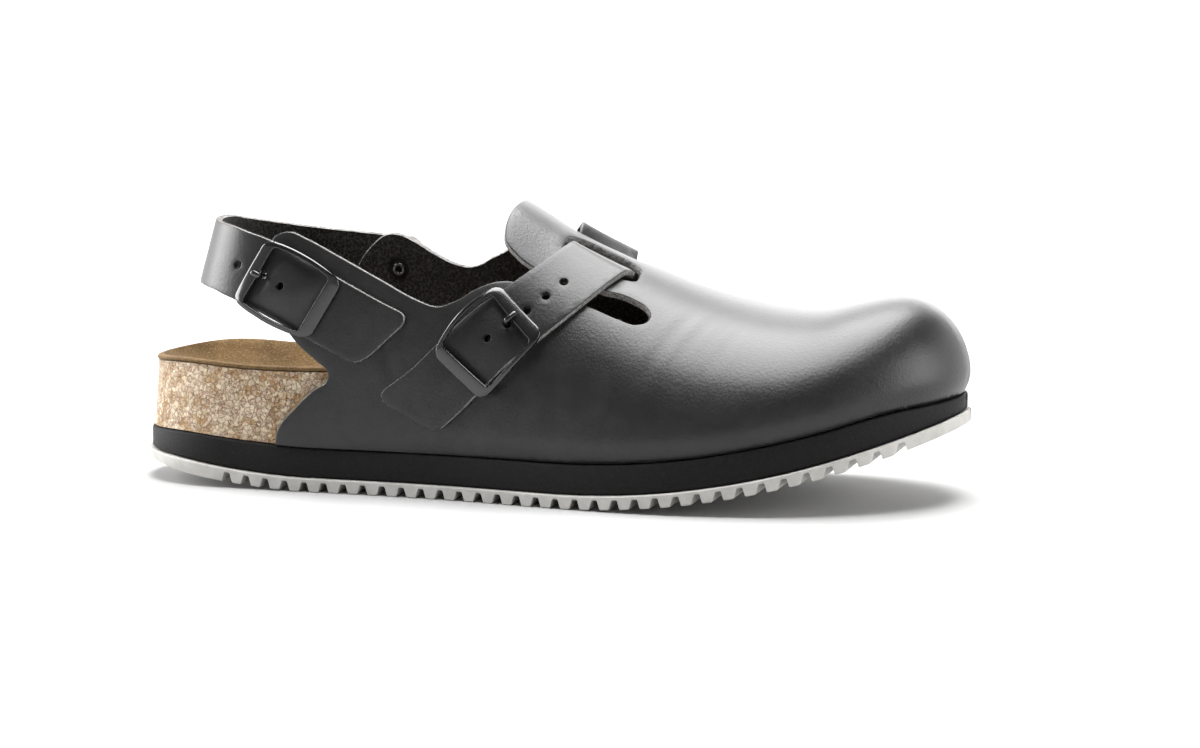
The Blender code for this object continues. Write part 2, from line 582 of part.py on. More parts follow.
def loop(z):
    """Level line that the heel strap follows at a height: along the outer side of the upper, round
    the heel in a free curve and along the inner side, with the run up to each of its points."""
    z = np.asarray(z, float)[..., None]
    x = np.linspace(LOOP_REACH, HEEL_STRAP_SIDE, 24)
    outer, inner = (side_y(x, z, side) for side in (-1, 1))
    angle = np.linspace(0, math.pi / 2, 40)[1:]
    back = HEEL_STRAP_BACK + (z - HEEL_STRAP_HEIGHT) * HEEL_STRAP_LEAN
    turn = HEEL_STRAP_SIDE - (HEEL_STRAP_SIDE - back) * np.sin(angle) ** (2 / HEEL_STRAP_FULL)
    half = (inner[..., -1:] - outer[..., -1:]) / 2 * np.cos(angle) ** (2 / HEEL_STRAP_FULL)
    middle = (outer[..., -1:] + inner[..., -1:]) / 2
    side = np.broadcast_to(x, outer.shape)
    xs = np.concatenate((side, turn, turn[..., -2::-1], side[..., ::-1]), axis=-1)
    ys = np.concatenate((outer, middle - half, middle + half[..., -2::-1], inner[..., ::-1]), axis=-1)
    step = np.hypot(np.diff(xs, axis=-1), np.diff(ys, axis=-1))
    run = np.concatenate((np.zeros(step.shape[:-1] + (1,)), np.cumsum(step, axis=-1)), axis=-1)
    return xs, ys, run, run[..., len(x) + len(angle) - 1]


def heel_loop(z, around):
    """Surface of those level lines; around is measured from the back, to the outer side negative."""
    z, around = np.broadcast_arrays(z, around)
    xs, ys, run, half = loop(z)
    want = (half * (1 + around / loop(HEEL_STRAP_HEIGHT)[3]))[..., None]
    k = np.clip((run < want).sum(axis=-1, keepdims=True) - 1, 0, run.shape[-1] - 2)
    low, high = np.take_along_axis(run, k, -1), np.take_along_axis(run, k + 1, -1)
    t = (want - low) / (high - low)
    x, y = (np.take_along_axis(v, k, -1) * (1 - t) + np.take_along_axis(v, k + 1, -1) * t for v in (xs, ys))
    return np.stack((x[..., 0], y[..., 0], z), axis=-1)


def heel(a, b, h):
    """Point of the heel strap: run from its free end, place over its width, height above the
    surface that it follows."""
    steps, (around, height) = centre_line(HEEL_PATH, "round", "height")
    around, height = around * HEEL_WIDTH, height * HEEL_STRAP_HEIGHT
    run = np.concatenate(([0.0], np.cumsum(np.hypot(np.diff(around), np.diff(height)))))
    eps = 0.002
    at = [np.interp(a, run, value) for value in (around, height)]
    lead = [np.interp(a + eps, run, value) - np.interp(a - eps, run, value) for value in (around, height)]
    size = np.hypot(*lead)
    d, z = at[0] - b * lead[1] / size, at[1] + b * lead[0] / size
    return heel_loop(z, d) + normal(heel_loop, z, d, 0.0005) * (GAP + h)[..., None]


def run_length(place):
    """Length of a strap's middle line."""
    if place is instep:
        steps, (s, u) = centre_line(INSTEP_PATH, "s", "u")
        return np.linalg.norm(np.diff(last(s, u), axis=0), axis=1).sum()
    steps, (around, height) = centre_line(HEEL_PATH, "round", "height")
    return np.hypot(np.diff(around * HEEL_WIDTH), np.diff(height * HEEL_STRAP_HEIGHT)).sum()


def strap(name, place, slope, material, group):
    """Leather band with rounded ends along a strap's middle line."""
    length = run_length(place)
    near = STRAP_END * (1 - np.cos(np.linspace(0, math.pi / 2, 6)))
    a = np.concatenate((near, np.linspace(STRAP_END, length - STRAP_END, int(length / STRAP_STEP))[1:-1],
                        length - near[::-1]))
    a = np.clip(a, 2 * WELD, length - 2 * WELD)
    cut = np.clip(STRAP_END - np.minimum(a, length - a), 0, STRAP_END)
    half = STRAP_WIDTH / 2 - STRAP_END + np.sqrt(STRAP_END ** 2 - cut ** 2)
    shares = np.linspace(-1, 1, 5)
    rings = []
    for h, order in ((0.0, shares), (STRAP, shares[::-1])):
        b = half[:, None] * order
        slant = slope * (STRAP_WIDTH / 2 - b) * np.clip(1 - a / STRAP_WIDTH, 0, 1)[:, None]
        rings.append(place(a[:, None] + slant, b, np.full(b.shape, h)))
    return loft(name, np.concatenate(rings, axis=1), material, group)


def punch(name, place, spots, diameter, depth, group):
    """Round cutters through a strap, and through the leather under it where depth reaches that."""
    shape = bmesh.new()
    for a, b in spots:
        spot = place(*(np.array([v]) for v in (a, b, 0.0)))[0] - (LENGTH / 2, 0, 0)
        tip = place(*(np.array([v]) for v in (a, b, STRAP)))[0] - (LENGTH / 2, 0, 0)
        axis = Vector(tip - spot).normalized()
        turn = Matrix.Translation(spot) @ axis.to_track_quat("Z", "Y").to_matrix().to_4x4()
        bmesh.ops.create_cone(shape, cap_ends=True, segments=HOLE_SIDES, radius1=diameter / 2,
                              radius2=diameter / 2, depth=depth, matrix=turn)
    mesh = bpy.data.meshes.new(name)
    shape.to_mesh(mesh)
    shape.free()
    cutter = bpy.data.objects.new(name, mesh)
    cutter.hide_render = True
    cutter.display_type = "WIRE"
    group.objects.link(cutter)
    return cutter


def cut(obj, cutter):
    tool = obj.modifiers.new(cutter.name, "BOOLEAN")
    tool.operation = "DIFFERENCE"
    tool.object = cutter


def rounded_square(corner):
    """Closed loop round a square from -1 to 1 with rounded corners."""
    turn = np.linspace(0, math.pi / 2, 4)
    side = np.linspace(corner - 1, 1 - corner, 5)[1:-1]
    a = np.concatenate((np.ones(len(side)), 1 - corner + corner * np.cos(turn)))
    b = np.concatenate((side, 1 - corner + corner * np.sin(turn)))
    return np.concatenate((a, -b, -a, b)), np.concatenate((b, a, -b, -a))


def prong_foot(buckle):
    """Run of the hole that the prong comes up through."""
    return buckle["middle"] + buckle["long"] / 2 - buckle["bar"] - buckle["foot"]


def turned(place, buckle):
    """The strap's surface as the buckle sees it, turned about its prong's foot."""
    foot, angle = prong_foot(buckle), buckle["turn"]

    def spot(a, b, h):
        ahead = a - foot
        return place(foot + ahead * math.cos(angle) - b * math.sin(angle),
                     ahead * math.sin(angle) + b * math.cos(angle), h)
    return spot


def frame_height(a, long):
    """Height of the arched frame's under side at a distance from its middle."""
    return STRAP + GAP + FRAME_ARCH * (1 - (2 * a / long) ** 2)


def buckle_frame(name, place, buckle, material, group):
    """Bowed frame with a bar at one end and a broad bare plate at the free end's side."""
    long, bar = buckle["long"], buckle["bar"]
    ra, rb = rounded_square(FRAME_CORNER)
    outer_a = ra * long / 2
    outer_b = rb * (buckle["wide"] / 2 + FRAME_BOW * (1 - ra * ra))
    ra, rb = rounded_square(WINDOW_CORNER)
    inner_a = (ra * (long - bar - FRAME_PLATE) + FRAME_PLATE - bar) / 2
    inner_b = rb * (buckle["wide"] / 2 - FRAME_SIDE + FRAME_BOW * (1 - (2 * inner_a / long) ** 2))
    rings = []
    for i in range(len(ra)):
        a = np.array((outer_a[i], outer_a[i], inner_a[i], inner_a[i]))
        b = np.array((outer_b[i], outer_b[i], inner_b[i], inner_b[i]))
        h = frame_height(a, long) + FRAME_THICK * np.array((0, FRAME_RIM, 1, 0))
        rings.append(place(buckle["middle"] + a, b, h))
    rings = np.array(rings)
    count, around = rings.shape[:2]
    faces = [[i * around + j, i * around + (j + 1) % around, (i + 1) % count * around + (j + 1) % around,
              (i + 1) % count * around + j] for i in range(count) for j in range(around)]
    return piece(name, rings.reshape(-1, 3), faces, material, group)


def buckle_prong(name, place, buckle, material, group):
    """Prong that comes up through the strap beside the bar and lies over it."""
    width = buckle["bar"]
    edge_a = buckle["long"] / 2 - width
    bar, foot = (buckle["middle"] + edge_a - back for back in (0, buckle["foot"]))
    top = frame_height(edge_a, buckle["long"]) + FRAME_THICK + GAP + PRONG_THICK / 2
    path = ((foot, GAP), (foot, STRAP + GAP), (foot + 0.2 * buckle["foot"], top), (bar, top + GAP),
            (bar + 0.3 * width, top), (bar + 0.5 * width, top - GAP))
    rings = []
    for i, (a, h) in enumerate(path):
        before, after = path[max(i - 1, 0)], path[min(i + 1, len(path) - 1)]
        lead = np.array((after[0] - before[0], after[1] - before[1]))
        lead = lead / np.linalg.norm(lead)
        aside = PRONG_THICK / 2 * np.array((-lead[1], lead[0]))
        low, high = np.array((a, h)) - aside, np.array((a, h)) + aside
        ring_a = np.array((low[0], low[0], high[0], high[0]))
        ring_h = np.array((low[1], low[1], high[1], high[1]))
        b = PRONG_WIDE / 2 * np.array((-1, 1, 1, -1))
        rings.append(place(ring_a, b, ring_h))
    return loft(name, rings, material, group)


def rivet(name, place, a, material, group):
    """Domed rivet through a strap and the upper's wall, closed by a small cap inside."""
    spot, tip = (place(np.array([a]), np.array([0.0]), np.array([h]))[0] for h in (0.0, STRAP))
    axis = Vector(tip - spot).normalized()
    head, shank, ring, bore = (size / 2 for size in (RIVET_HEAD, RIVET_SHANK, RIVET_RING, RIVET_BORE))
    top, under = STRAP + GAP, -WALL - 2 * GAP
    profile = ((0, top + RIVET_DOME), (0.6 * head, top + 0.8 * RIVET_DOME), (head, top + RIVET_LIP),
               (head, top), (shank, top), (shank, under), (ring, under), (ring, under - RIVET_LIP),
               (bore, under - 2 * RIVET_LIP), (bore, 0.5 * under), (0, 0.5 * under))
    mesh = bpy.data.meshes.new(name)
    mesh.from_pydata([(r, 0, z) for r, z in profile], [(i, i + 1) for i in range(len(profile) - 1)], [])
    mesh.materials.append(material)
    obj = bpy.data.objects.new(name, mesh)
    obj.matrix_world = (Matrix.Translation(spot - (LENGTH / 2, 0, 0))
                        @ axis.to_track_quat("Z", "Y").to_matrix().to_4x4())
    turn = obj.modifiers.new("turn", "SCREW")
    turn.steps = turn.render_steps = RIVET_SIDES
    turn.use_merge_vertices = True
    turn.merge_threshold = WELD
    group.objects.link(obj)
    return obj


for old in list(bpy.data.objects):
    bpy.data.objects.remove(old)
PARTS = collection("chef_clog")
CUTTERS = collection("cutters")
RUBBER = finish("rubber", (0.38, 0.37, 0.35), 0.7)
FOAM = finish("midsole_foam", (0.012, 0.012, 0.012), 0.65)
CORK = finish("cork", (0.52, 0.36, 0.21), 0.8)
SUEDE = finish("suede", (0.42, 0.29, 0.16), 0.9)
LEATHER = finish("leather", (0.02, 0.02, 0.022), 0.42)
METAL = finish("black_metal", (0.015, 0.015, 0.017), 0.25, 1.0)

outsole(RUBBER, PARTS)
midsole(FOAM, PARTS)
footbed(CORK, PARTS)
insole(SUEDE, PARTS)
shell = upper(LEATHER, PARTS)
for kind, place, buckle in (("instep", instep, INSTEP_BUCKLE), ("heel", heel, HEEL_BUCKLE)):
    band = strap(kind + "_strap", place, buckle["slant"], LEATHER, PARTS)
    punched = [(prong_foot(buckle) + i * HOLE_PITCH, 0.0) for i in buckle["holes"]]
    cut(band, punch(kind + "_holes", place, punched, HOLE, 4 * STRAP, CUTTERS))
    buckle_frame(kind + "_buckle_frame", turned(place, buckle), buckle, METAL, PARTS)
    buckle_prong(kind + "_buckle_prong", turned(place, buckle), buckle, METAL, PARTS)
    end = run_length(place) - RIVET_PLACE
    bore = punch(kind + "_rivet_bore", place, [(end, 0.0)], RIVET_SHANK + 2 * GAP, 8 * STRAP, CUTTERS)
    cut(band, bore)
    cut(shell, bore)
    rivet(kind + "_strap_rivet", place, end, METAL, PARTS)
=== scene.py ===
# %% [markdown]
# # A chef clog seen from its outer side
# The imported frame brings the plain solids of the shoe. This script dresses them. It lays a finely
# meshed leather skin, straps, cork and soles over the same last and outline, gives each material
# its own look, and lights the shoe like a studio picture. Every piece is a function of a few named
# sizes and short tables, so that one number moves everything that depends on it.
# %% Start
import math
import bmesh
import bpy
import numpy as np
from mathutils import Matrix, Vector
from mathutils.geometry import delaunay_2d_cdt


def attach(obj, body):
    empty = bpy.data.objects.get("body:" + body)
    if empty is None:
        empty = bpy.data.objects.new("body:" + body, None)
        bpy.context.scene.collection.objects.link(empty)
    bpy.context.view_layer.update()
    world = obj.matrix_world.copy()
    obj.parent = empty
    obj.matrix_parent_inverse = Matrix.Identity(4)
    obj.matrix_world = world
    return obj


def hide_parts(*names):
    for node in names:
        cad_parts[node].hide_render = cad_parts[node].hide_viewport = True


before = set(bpy.data.objects)
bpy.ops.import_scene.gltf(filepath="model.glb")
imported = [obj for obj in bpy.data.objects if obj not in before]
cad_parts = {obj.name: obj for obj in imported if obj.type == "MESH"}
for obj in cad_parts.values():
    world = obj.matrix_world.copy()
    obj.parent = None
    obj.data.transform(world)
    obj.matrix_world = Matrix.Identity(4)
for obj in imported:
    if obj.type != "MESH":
        bpy.data.objects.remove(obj)
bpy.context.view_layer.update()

# %% [markdown]
# ## The last and the sole, once more
# The solids were drawn from these sizes and tables. The same ones are used here, because a skin
# that follows the same surface as its solid never pokes through it or floats off it.
# x runs from the back of the heel to the toe, y to the inner side of the foot, z up, in metres.
# %% Sizes of the solids
LENGTH = 0.285           # outsole, back of the heel to the tip of the toe
BALL_WIDTH = 0.1058      # outsole at the ball of the foot
HEEL_WIDTH = 0.074       # outsole at the heel
INSTEP_HEIGHT = 0.097    # floor to the top of the tongue
TOE_HEIGHT = 0.0675      # floor to the top of the toe box
GAP = 0.0003             # clearance between pieces that touch
print("shoe", LENGTH, "by", BALL_WIDTH, "by", INSTEP_HEIGHT, "m")

# %% Sizes of the sole
OUTSOLE_DEPTH = 0.0046   # lugs and plate together
LUG_DEPTH = 0.0032
LUG_PITCH = 0.00697
LUG_FOOT = 0.0033        # length of a lug where it meets the floor
LUG_ROOT = 0.0052        # length of a lug where it leaves the plate
LUG_CHEVRON = 0.006      # how far the middle of a rib runs ahead of its ends
CHANNEL = 0.0035         # width of the two channels along the tread
CHANNEL_PLACE = 0.38     # their place, share of the half width
HEEL_BAND = 0.0364       # plain tread at the back of the heel
TOE_BAND = 0.0150        # plain tread at the tip of the toe
HEEL_LIFT = 0.0085       # back edge of the tread above the floor
HEEL_BEVEL = 0.068       # length of the bevel under the heel
TOE_SPRING = 0.0262      # tip of the tread above the floor
TOE_ROCKER = 0.133       # length over which the toe rises
MIDSOLE_DEPTH = 0.0098
MIDSOLE_INSET = 0.0013   # step from the side of the outsole
HEEL_ROUND = 0.037       # length over which the heel's outline closes
TOE_ROUND = 0.072        # length over which the toe's outline closes

# %% Sizes of the footbed and lining
CORK_INSET = 0.0031      # side of the bare cork, from the side of the outsole
CORK_RIM = 0.0245        # rim of the heel cup above the midsole
CORK_DRAFT = 0.0014      # how far the bare side leans in at its rim
CORK_LIP = 0.0017        # width of the flat lip round the lining
CUP_END = 0.022          # length over which the cup rises to the back and the tip
ARCH_RISE = 0.008        # arch support above the dish
ARCH_PLACE = 0.40        # share of the length
ARCH_REACH = 0.12
LINING = 0.0013

# %% Sizes of the upper
WALL = 0.0024
SPINE_TURN = 0.200       # ahead of this the sections of the upper fan out round the toe
SPINE_END = 0.246        # where the crest ends and the toe cap falls away
TUCK_HEIGHT = 0.009      # height over which the lower edge is drawn in

# %% Sizes of straps, buckles and rivets
STRAP = 0.0022           # thickness of both straps
STRAP_WIDTH = 0.0218
HOLE = 0.0026            # diameter of the punched holes
HEEL_STRAP_HEIGHT = 0.0772   # middle of the strap behind the heel, above the floor
HEEL_STRAP_BACK = 0.0250     # the same point, ahead of the back of the sole
HEEL_STRAP_LEAN = 0.28       # how far the strap leans in for each unit of height
HEEL_STRAP_SIDE = 0.052      # where the strap leaves the sides and turns round the heel
RIVET_HEAD = 0.0090      # diameter
RIVET_SHANK = 0.0032
RIVET_DOME = 0.0014      # height of the head
RIVET_LIP = 0.0003
RIVET_RING = 0.0046      # diameter of the turned-over end inside
RIVET_BORE = 0.0022      # diameter of the hollow in that end
RIVET_PLACE = 0.0062     # from the riveted end of a strap
HOLE_PITCH = 0.0077      # between the punched holes
STRAP_END = 0.0048       # radius of the corners at the ends
HEEL_STRAP_FULL = 2.1    # fullness of the curve round the heel
LOOP_REACH = 0.118       # how far forward the heel strap's surface goes on
FRAME_PLATE = 0.0047     # width of the plate at the other end
FRAME_SIDE = 0.0017      # width of the two sides
FRAME_BOW = 0.0017       # how far the sides swell between the ends
FRAME_ARCH = 0.0011      # how far the frame rises between its ends
FRAME_THICK = 0.0020
FRAME_RIM = 0.75         # height of the outer edge, share of FRAME_THICK
FRAME_CORNER = 0.24      # rounding of the outer corners, share of half a side
WINDOW_CORNER = 0.12     # rounding of the inner corners
PRONG_WIDE = 0.0017
PRONG_THICK = 0.0011
WELD = 0.00001           # points closer than this are one
END = 0.0006             # share of the length left off at the tips of a loft

# middle: run of the buckle's centre from the strap's free end; long, wide: outer size; bar: width
# of the bar that the prong rests on; foot: from the bar to the prong's foot; holes: their places
# in the row, counted from the prong's; slant: slope of the cut across the strap's free end;
# turn: how far the buckle is turned about its prong's foot, radians
INSTEP_BUCKLE = dict(middle=0.0435, long=0.0303, wide=0.0238, bar=0.0045, foot=0.0020,
                     slant=0.5, turn=0.11, holes=(-1, 0, 1, 2, 3))
HEEL_BUCKLE = dict(middle=0.0421, long=0.0312, wide=0.0213, bar=0.0040, foot=0.0012,
                   slant=0.4, turn=0.0, holes=(-1, 0, 1.34))


# %% Tables
def table(names, *rows):
    """A table with named columns; the first column is the place of each row."""
    return dict(zip(names.split(), np.array(rows, dtype=float).T))


def sheet(text):
    """The same, from a page of text with the names in its first line."""
    names, *rows = text.strip().splitlines()
    return table(names, *(row.split() for row in rows))


def read(tab, name, at):
    """Smooth curve through one column of a table, held level beyond its ends."""
    place = next(iter(tab.values()))
    value = tab[name]
    span = np.diff(place)
    slope = np.diff(value) / span
    bend = np.empty_like(value)
    bend[0], bend[-1] = slope[0], slope[-1]
    bend[1:-1] = (slope[:-1] * span[1:] + slope[1:] * span[:-1]) / (span[1:] + span[:-1])
    at = np.clip(at, place[0], place[-1])
    k = np.clip(np.searchsorted(place, at, side="right") - 1, 0, len(span) - 1)
    t = (at - place[k]) / span[k]
    ends = value[k] * (1 + 2 * t) * (1 - t) ** 2 + value[k + 1] * t * t * (3 - 2 * t)
    return ends + span[k] * (bend[k] * t * (1 - t) ** 2 + bend[k + 1] * t * t * (t - 1))


# along: share of LENGTH; centre: share of BALL_WIDTH; spread: 0 is HEEL_WIDTH, 1 is BALL_WIDTH
OUTLINE = sheet("""
along centre spread
0 0 -0.09
0.12 0 -0.09
0.19 0 0
0.28 -0.012 -0.02
0.35 -0.026 -0.02
0.42 -0.035 0.08
0.49 -0.038 0.31
0.56 -0.033 0.6
0.63 -0.024 0.85
0.7 -0.012 0.99
0.76 0.002 1
0.86 0.033 1
0.95 0.066 1
1 0.08 1""")

# outsole: share of OUTSOLE_DEPTH; midsole: share of MIDSOLE_DEPTH; rim and cup: height of the
# footbed's rim and depth inside it, shares of CORK_RIM; inset: share of CORK_INSET
PROFILE = sheet("""
along outsole midsole rim cup inset
0 0.42 0.64 0.9 0.4 0.66
0.06 0.88 0.86 0.94 0.42 0.72
0.16 1 0.99 0.98 0.45 0.96
0.27 1 1 1.04 0.46 1.05
0.4 1 1 0.94 0.4 1.4
0.55 1 1 0.72 0.28 1.6
0.7 1 1 0.56 0.2 1.6
0.85 1 1 0.5 0.16 1.6
0.93 1 0.93 0.5 0.16 1.6
1 0.92 0.5 0.5 0.16 1.6""")

# rise: crest of the section, 0 is TOE_HEIGHT and 1 is INSTEP_HEIGHT; spine: crest's offset, share
# of BALL_WIDTH; outer, inner: fullness of the two sides; crown: fullness of the top
SECTIONS = sheet("""
along rise spine outer inner crown
0.16 2.05 0 3 3 3
0.28 1.85 0.005 2.9 2.9 2.9
0.36 1.52 0.014 2.7 2.8 2.6
0.41 1.24 0.022 2.5 2.6 2.3
0.467 0.98 0.03 2.3 2.5 2.1
0.52 0.68 0.036 2.2 2.4 2
0.575 0.43 0.042 2.2 2.4 2
0.63 0.21 0.048 2.2 2.4 2.05
0.7 -0.02 0.056 2.2 2.4 2.1
0.76 -0.14 0.062 2.2 2.4 2.2
0.82 -0.17 0.068 2.25 2.35 2.3
0.88 -0.05 0.074 2.3 2.3 2.4
0.94 0.1 0.08 2.3 2.3 2.4
1 0.16 0.08 2.3 2.3 2.4""")


print("places along the last:", len(SECTIONS["along"]))


# %% Points and running length
def columns(*values):
    """Points from the columns of their coordinates."""
    return np.stack(values, axis=-1)


def run_up(step):
    """Length up to each point of a line, from the steps between its points."""
    return np.concatenate(([0.0], np.cumsum(step)))


def full_turn(count):
    """Even angles once round a circle."""
    return np.linspace(0, 2 * math.pi, count, endpoint=False)


# %% Outline and levels of the sole
def tread(x):
    """Height of the tread's lowest face above the floor."""
    heel = np.clip(1 - x / HEEL_BEVEL, 0, 1) ** 1.7
    toe = np.clip((x - (LENGTH - TOE_ROCKER)) / TOE_ROCKER, 0, 1) ** 2
    return HEEL_LIFT * heel + TOE_SPRING * toe


def outsole_top(x):
    return tread(x) + OUTSOLE_DEPTH * read(PROFILE, "outsole", x / LENGTH)


def midsole_top(x):
    return outsole_top(x) + GAP + MIDSOLE_DEPTH * read(PROFILE, "midsole", x / LENGTH)


def closing(along):
    """Share of the width that is left where the outline rounds off at heel and toe."""
    x = along * LENGTH
    heel = np.clip(1 - x / HEEL_ROUND, 0, 1) ** 2.2
    toe = np.clip((x - (LENGTH - TOE_ROUND)) / TOE_ROUND, 0, 1) ** 2.1
    return np.sqrt(np.clip(1 - heel - toe, 0, 1))


def half_width(along):
    return 0.5 * (HEEL_WIDTH + (BALL_WIDTH - HEEL_WIDTH) * read(OUTLINE, "spread", along))


def outline(along, side, inset):
    """Place over the width of one side of the sole, drawn in by inset, before it is centred."""
    centre = BALL_WIDTH * read(OUTLINE, "centre", along)
    return centre + side * closing(along) * (half_width(along) - inset)


EVEN = np.linspace(0, 1, 600)
AXIS_Y = 0.5 * (outline(EVEN, -1, 0).min() + outline(EVEN, 1, 0).max())


def edge(along, side, inset=0.0):
    """Point of the sole's outline, drawn in by inset; side is -1 outside, 1 inside of the foot."""
    return inset + along * (LENGTH - 2 * inset), outline(along, side, inset) - AXIS_Y


# Length of the half outline up to each share of the shoe's length
HALF = np.hypot(np.diff(EVEN * LENGTH), np.diff(closing(EVEN) * half_width(EVEN)))
RUN = run_up(HALF)
print("half of the outline:", round(RUN[-1], 4), "m")


# %% The last
def crest(x):
    return TOE_HEIGHT + (INSTEP_HEIGHT - TOE_HEIGHT) * read(SECTIONS, "rise", x / LENGTH)


def section(s, side):
    """Sections of the last, each from the crest down to the sole's edge."""
    fx, fy = edge(np.interp(s * RUN[-1], RUN, EVEN), side)
    turn = np.clip((fx - SPINE_TURN) / (LENGTH - SPINE_TURN), 0, 1)
    power = (LENGTH - SPINE_TURN) / (SPINE_END - SPINE_TURN)
    fan = SPINE_TURN + (SPINE_END - SPINE_TURN) * (1 - (1 - turn) ** power)
    cx = np.where(fx < SPINE_TURN, fx, fan)
    cy = BALL_WIDTH * read(SECTIONS, "spine", cx / LENGTH) - AXIS_Y
    outer, inner, crown = (read(SECTIONS, name, fx / LENGTH)
                           for name in ("outer", "inner", "crown"))
    full = np.where(side < 0, outer, inner)
    angle = np.linspace(0, math.pi / 2, 61)
    out = np.sin(angle) ** (2 / full[..., None])
    base = midsole_top(fx) + GAP
    top = crest(cx[..., None] + out * (fx - cx)[..., None])
    z = base[..., None] + np.cos(angle) ** (2 / crown[..., None]) * (top - base[..., None])
    reach = np.hypot(fx - cx, fy - cy)
    step = np.hypot(np.diff(out * reach[..., None]), np.diff(z))
    girth = np.concatenate((np.zeros(step.shape[:-1] + (1,)), np.cumsum(step, axis=-1)), axis=-1)
    return fx, fy, cx, cy, reach, base, out, z, girth


def last(s, u):
    """Outer face of the upper. s runs along the sole's edge from heel (0) to toe tip (1), u over
    the foot from the outer sole edge (-1) by the crest (0) to the inner sole edge (1)."""
    s, u = np.broadcast_arrays(np.asarray(s, float), np.asarray(u, float))
    s, u = np.where(s > 1, 2 - s, s), np.where(s > 1, -u, u)
    fx, fy, cx, cy, reach, base, out, z, girth = section(s, np.where(u < 0, -1.0, 1.0))
    want = np.abs(u)[..., None] * girth[..., -1:]
    k = np.clip((girth < want).sum(axis=-1, keepdims=True) - 1, 0, girth.shape[-1] - 2)
    low, high = np.take_along_axis(girth, k, -1), np.take_along_axis(girth, k + 1, -1)
    t = ((want - low) / (high - low))[..., 0]
    pick = [np.take_along_axis(a, k + i, -1)[..., 0] for a in (out, z) for i in (0, 1)]
    share = pick[0] + (pick[1] - pick[0]) * t
    height = pick[2] + (pick[3] - pick[2]) * t
    tuck = CORK_INSET * read(PROFILE, "inset", fx / LENGTH) - GAP - WALL
    share = share - tuck / reach * np.clip(1 - (height - base) / TUCK_HEIGHT, 0, 1) ** 2
    return columns(cx + share * (fx - cx), cy + share * (fy - cy), height)


def normal(surface, s, u, step=0.002):
    """Outward unit normal of a surface that is given by a function of two values."""
    along = surface(s + step, u) - surface(s - step, u)
    over = surface(s, u + step) - surface(s, u - step)
    n = np.cross(along, over)
    return n / np.linalg.norm(n, axis=-1, keepdims=True)


def pattern(s, u):
    """Flat pattern of the upper: each section unrolled from the crest in its own direction."""
    fx, fy, cx, cy, reach, base, out, z, girth = section(s, np.where(u < 0, -1.0, 1.0))
    run = np.abs(u) * girth[..., -1] / reach
    return columns(cx + run * (fx - cx), cy + run * (fy - cy))


# %% Cut edges
# Each is a smooth curve through its places on the upper, given as s and u
EDGES = {name: [tuple(map(float, spot.split())) for spot in text.split(",")] for name, text in {
    "outer wing": """
        0.228 -1, 0.231 -0.96, 0.249 -0.9, 0.269 -0.848, 0.284 -0.818, 0.285 -0.797, 0.272 -0.768,
        0.251 -0.725, 0.232 -0.655, 0.221 -0.56, 0.219 -0.5, 0.226 -0.457, 0.242 -0.44,
        0.26 -0.453, 0.29 -0.483, 0.34 -0.528, 0.375 -0.556, 0.397 -0.56, 0.417 -0.528,
        0.441 -0.466, 0.46 -0.43, 0.485 -0.408, 0.52 -0.412, 0.557 -0.426, 0.585 -0.45,
        0.604 -0.46, 0.614 -0.438, 0.616 -0.398, 0.61 -0.36, 0.594 -0.334, 0.56 -0.334, 0.52 -0.34,
        0.49 -0.336, 0.473 -0.316, 0.46 -0.283, 0.457 -0.24, 0.456 -0.17, 0.457 -0.09, 0.457 0,
        0.456 0.09, 0.453 0.18, 0.445 0.27, 0.424 0.365, 0.404 0.425, 0.388 0.473, 0.375 0.494,
        0.36 0.498, 0.34 0.488, 0.321 0.472, 0.302 0.462, 0.287 0.471, 0.272 0.505, 0.253 0.578,
        0.246 0.65, 0.254 0.715, 0.273 0.768, 0.285 0.797, 0.283 0.82, 0.267 0.852, 0.248 0.9,
        0.232 0.96, 0.228 1""",
    "outer slot": """
        0.512 -0.15, 0.513 -0.095, 0.52 -0.062, 0.535 -0.042, 0.557 -0.04, 0.578 -0.052,
        0.588 -0.09, 0.591 -0.15, 0.59 -0.215, 0.57 -0.237, 0.545 -0.238,
        0.527 -0.228, 0.514 -0.2""",
    "inner slot": """
        0.492 0.15, 0.496 0.205, 0.512 0.23, 0.536 0.238, 0.561 0.237, 0.583 0.215, 0.588 0.15,
        0.589 0.088, 0.582 0.042, 0.556 0.026, 0.524 0.026, 0.501 0.046, 0.493 0.095""",
}.items()}
print("cut edges:", {name: len(spots) for name, spots in EDGES.items()})


# %% Middle lines of the straps
# They run from the free end on. The instep strap's is in s and u, with its
# height above (1) or under (-1) the upper's wall; the heel strap's is in shares of HEEL_WIDTH round
# the heel from its back, and of HEEL_STRAP_HEIGHT
INSTEP_PATH = sheet("""
step s u over
0 0.357 -0.917 1
1 0.395 -0.83 1
2 0.425 -0.735 1
3 0.455 -0.63 1
4 0.483 -0.543 1
5 0.509 -0.445 1
6 0.528 -0.352 1
7 0.541 -0.26 1
8 0.549 -0.187 1
9 0.552 -0.128 0
10 0.552 -0.076 -1
11 0.545 0.062 -1
12 0.541 0.108 0
13 0.535 0.155 1.5
14 0.527 0.22 1.5
15 0.512 0.33 1
16 0.494 0.435 1
17 0.472 0.54 1
18 0.452 0.62 1""")

HEEL_PATH = sheet("""
step round height
0 -1.325 0.656
1 -1.18 0.716
2 -1 0.799
3 -0.8 0.89
4 -0.665 0.948
5 -0.54 0.985
6 -0.38 1.01
7 0 1.01
8 0.2 0.984
9 0.54 0.932
10 0.81 0.911
11 1.04 0.897
12 1.135 0.893""")


# %% Surfaces of the straps
def centre_line(tab, *names):
    """Named columns of a strap's middle line, at close even steps along it."""
    steps = np.linspace(0, tab["step"][-1], 240)
    return [read(tab, name, steps) for name in names]


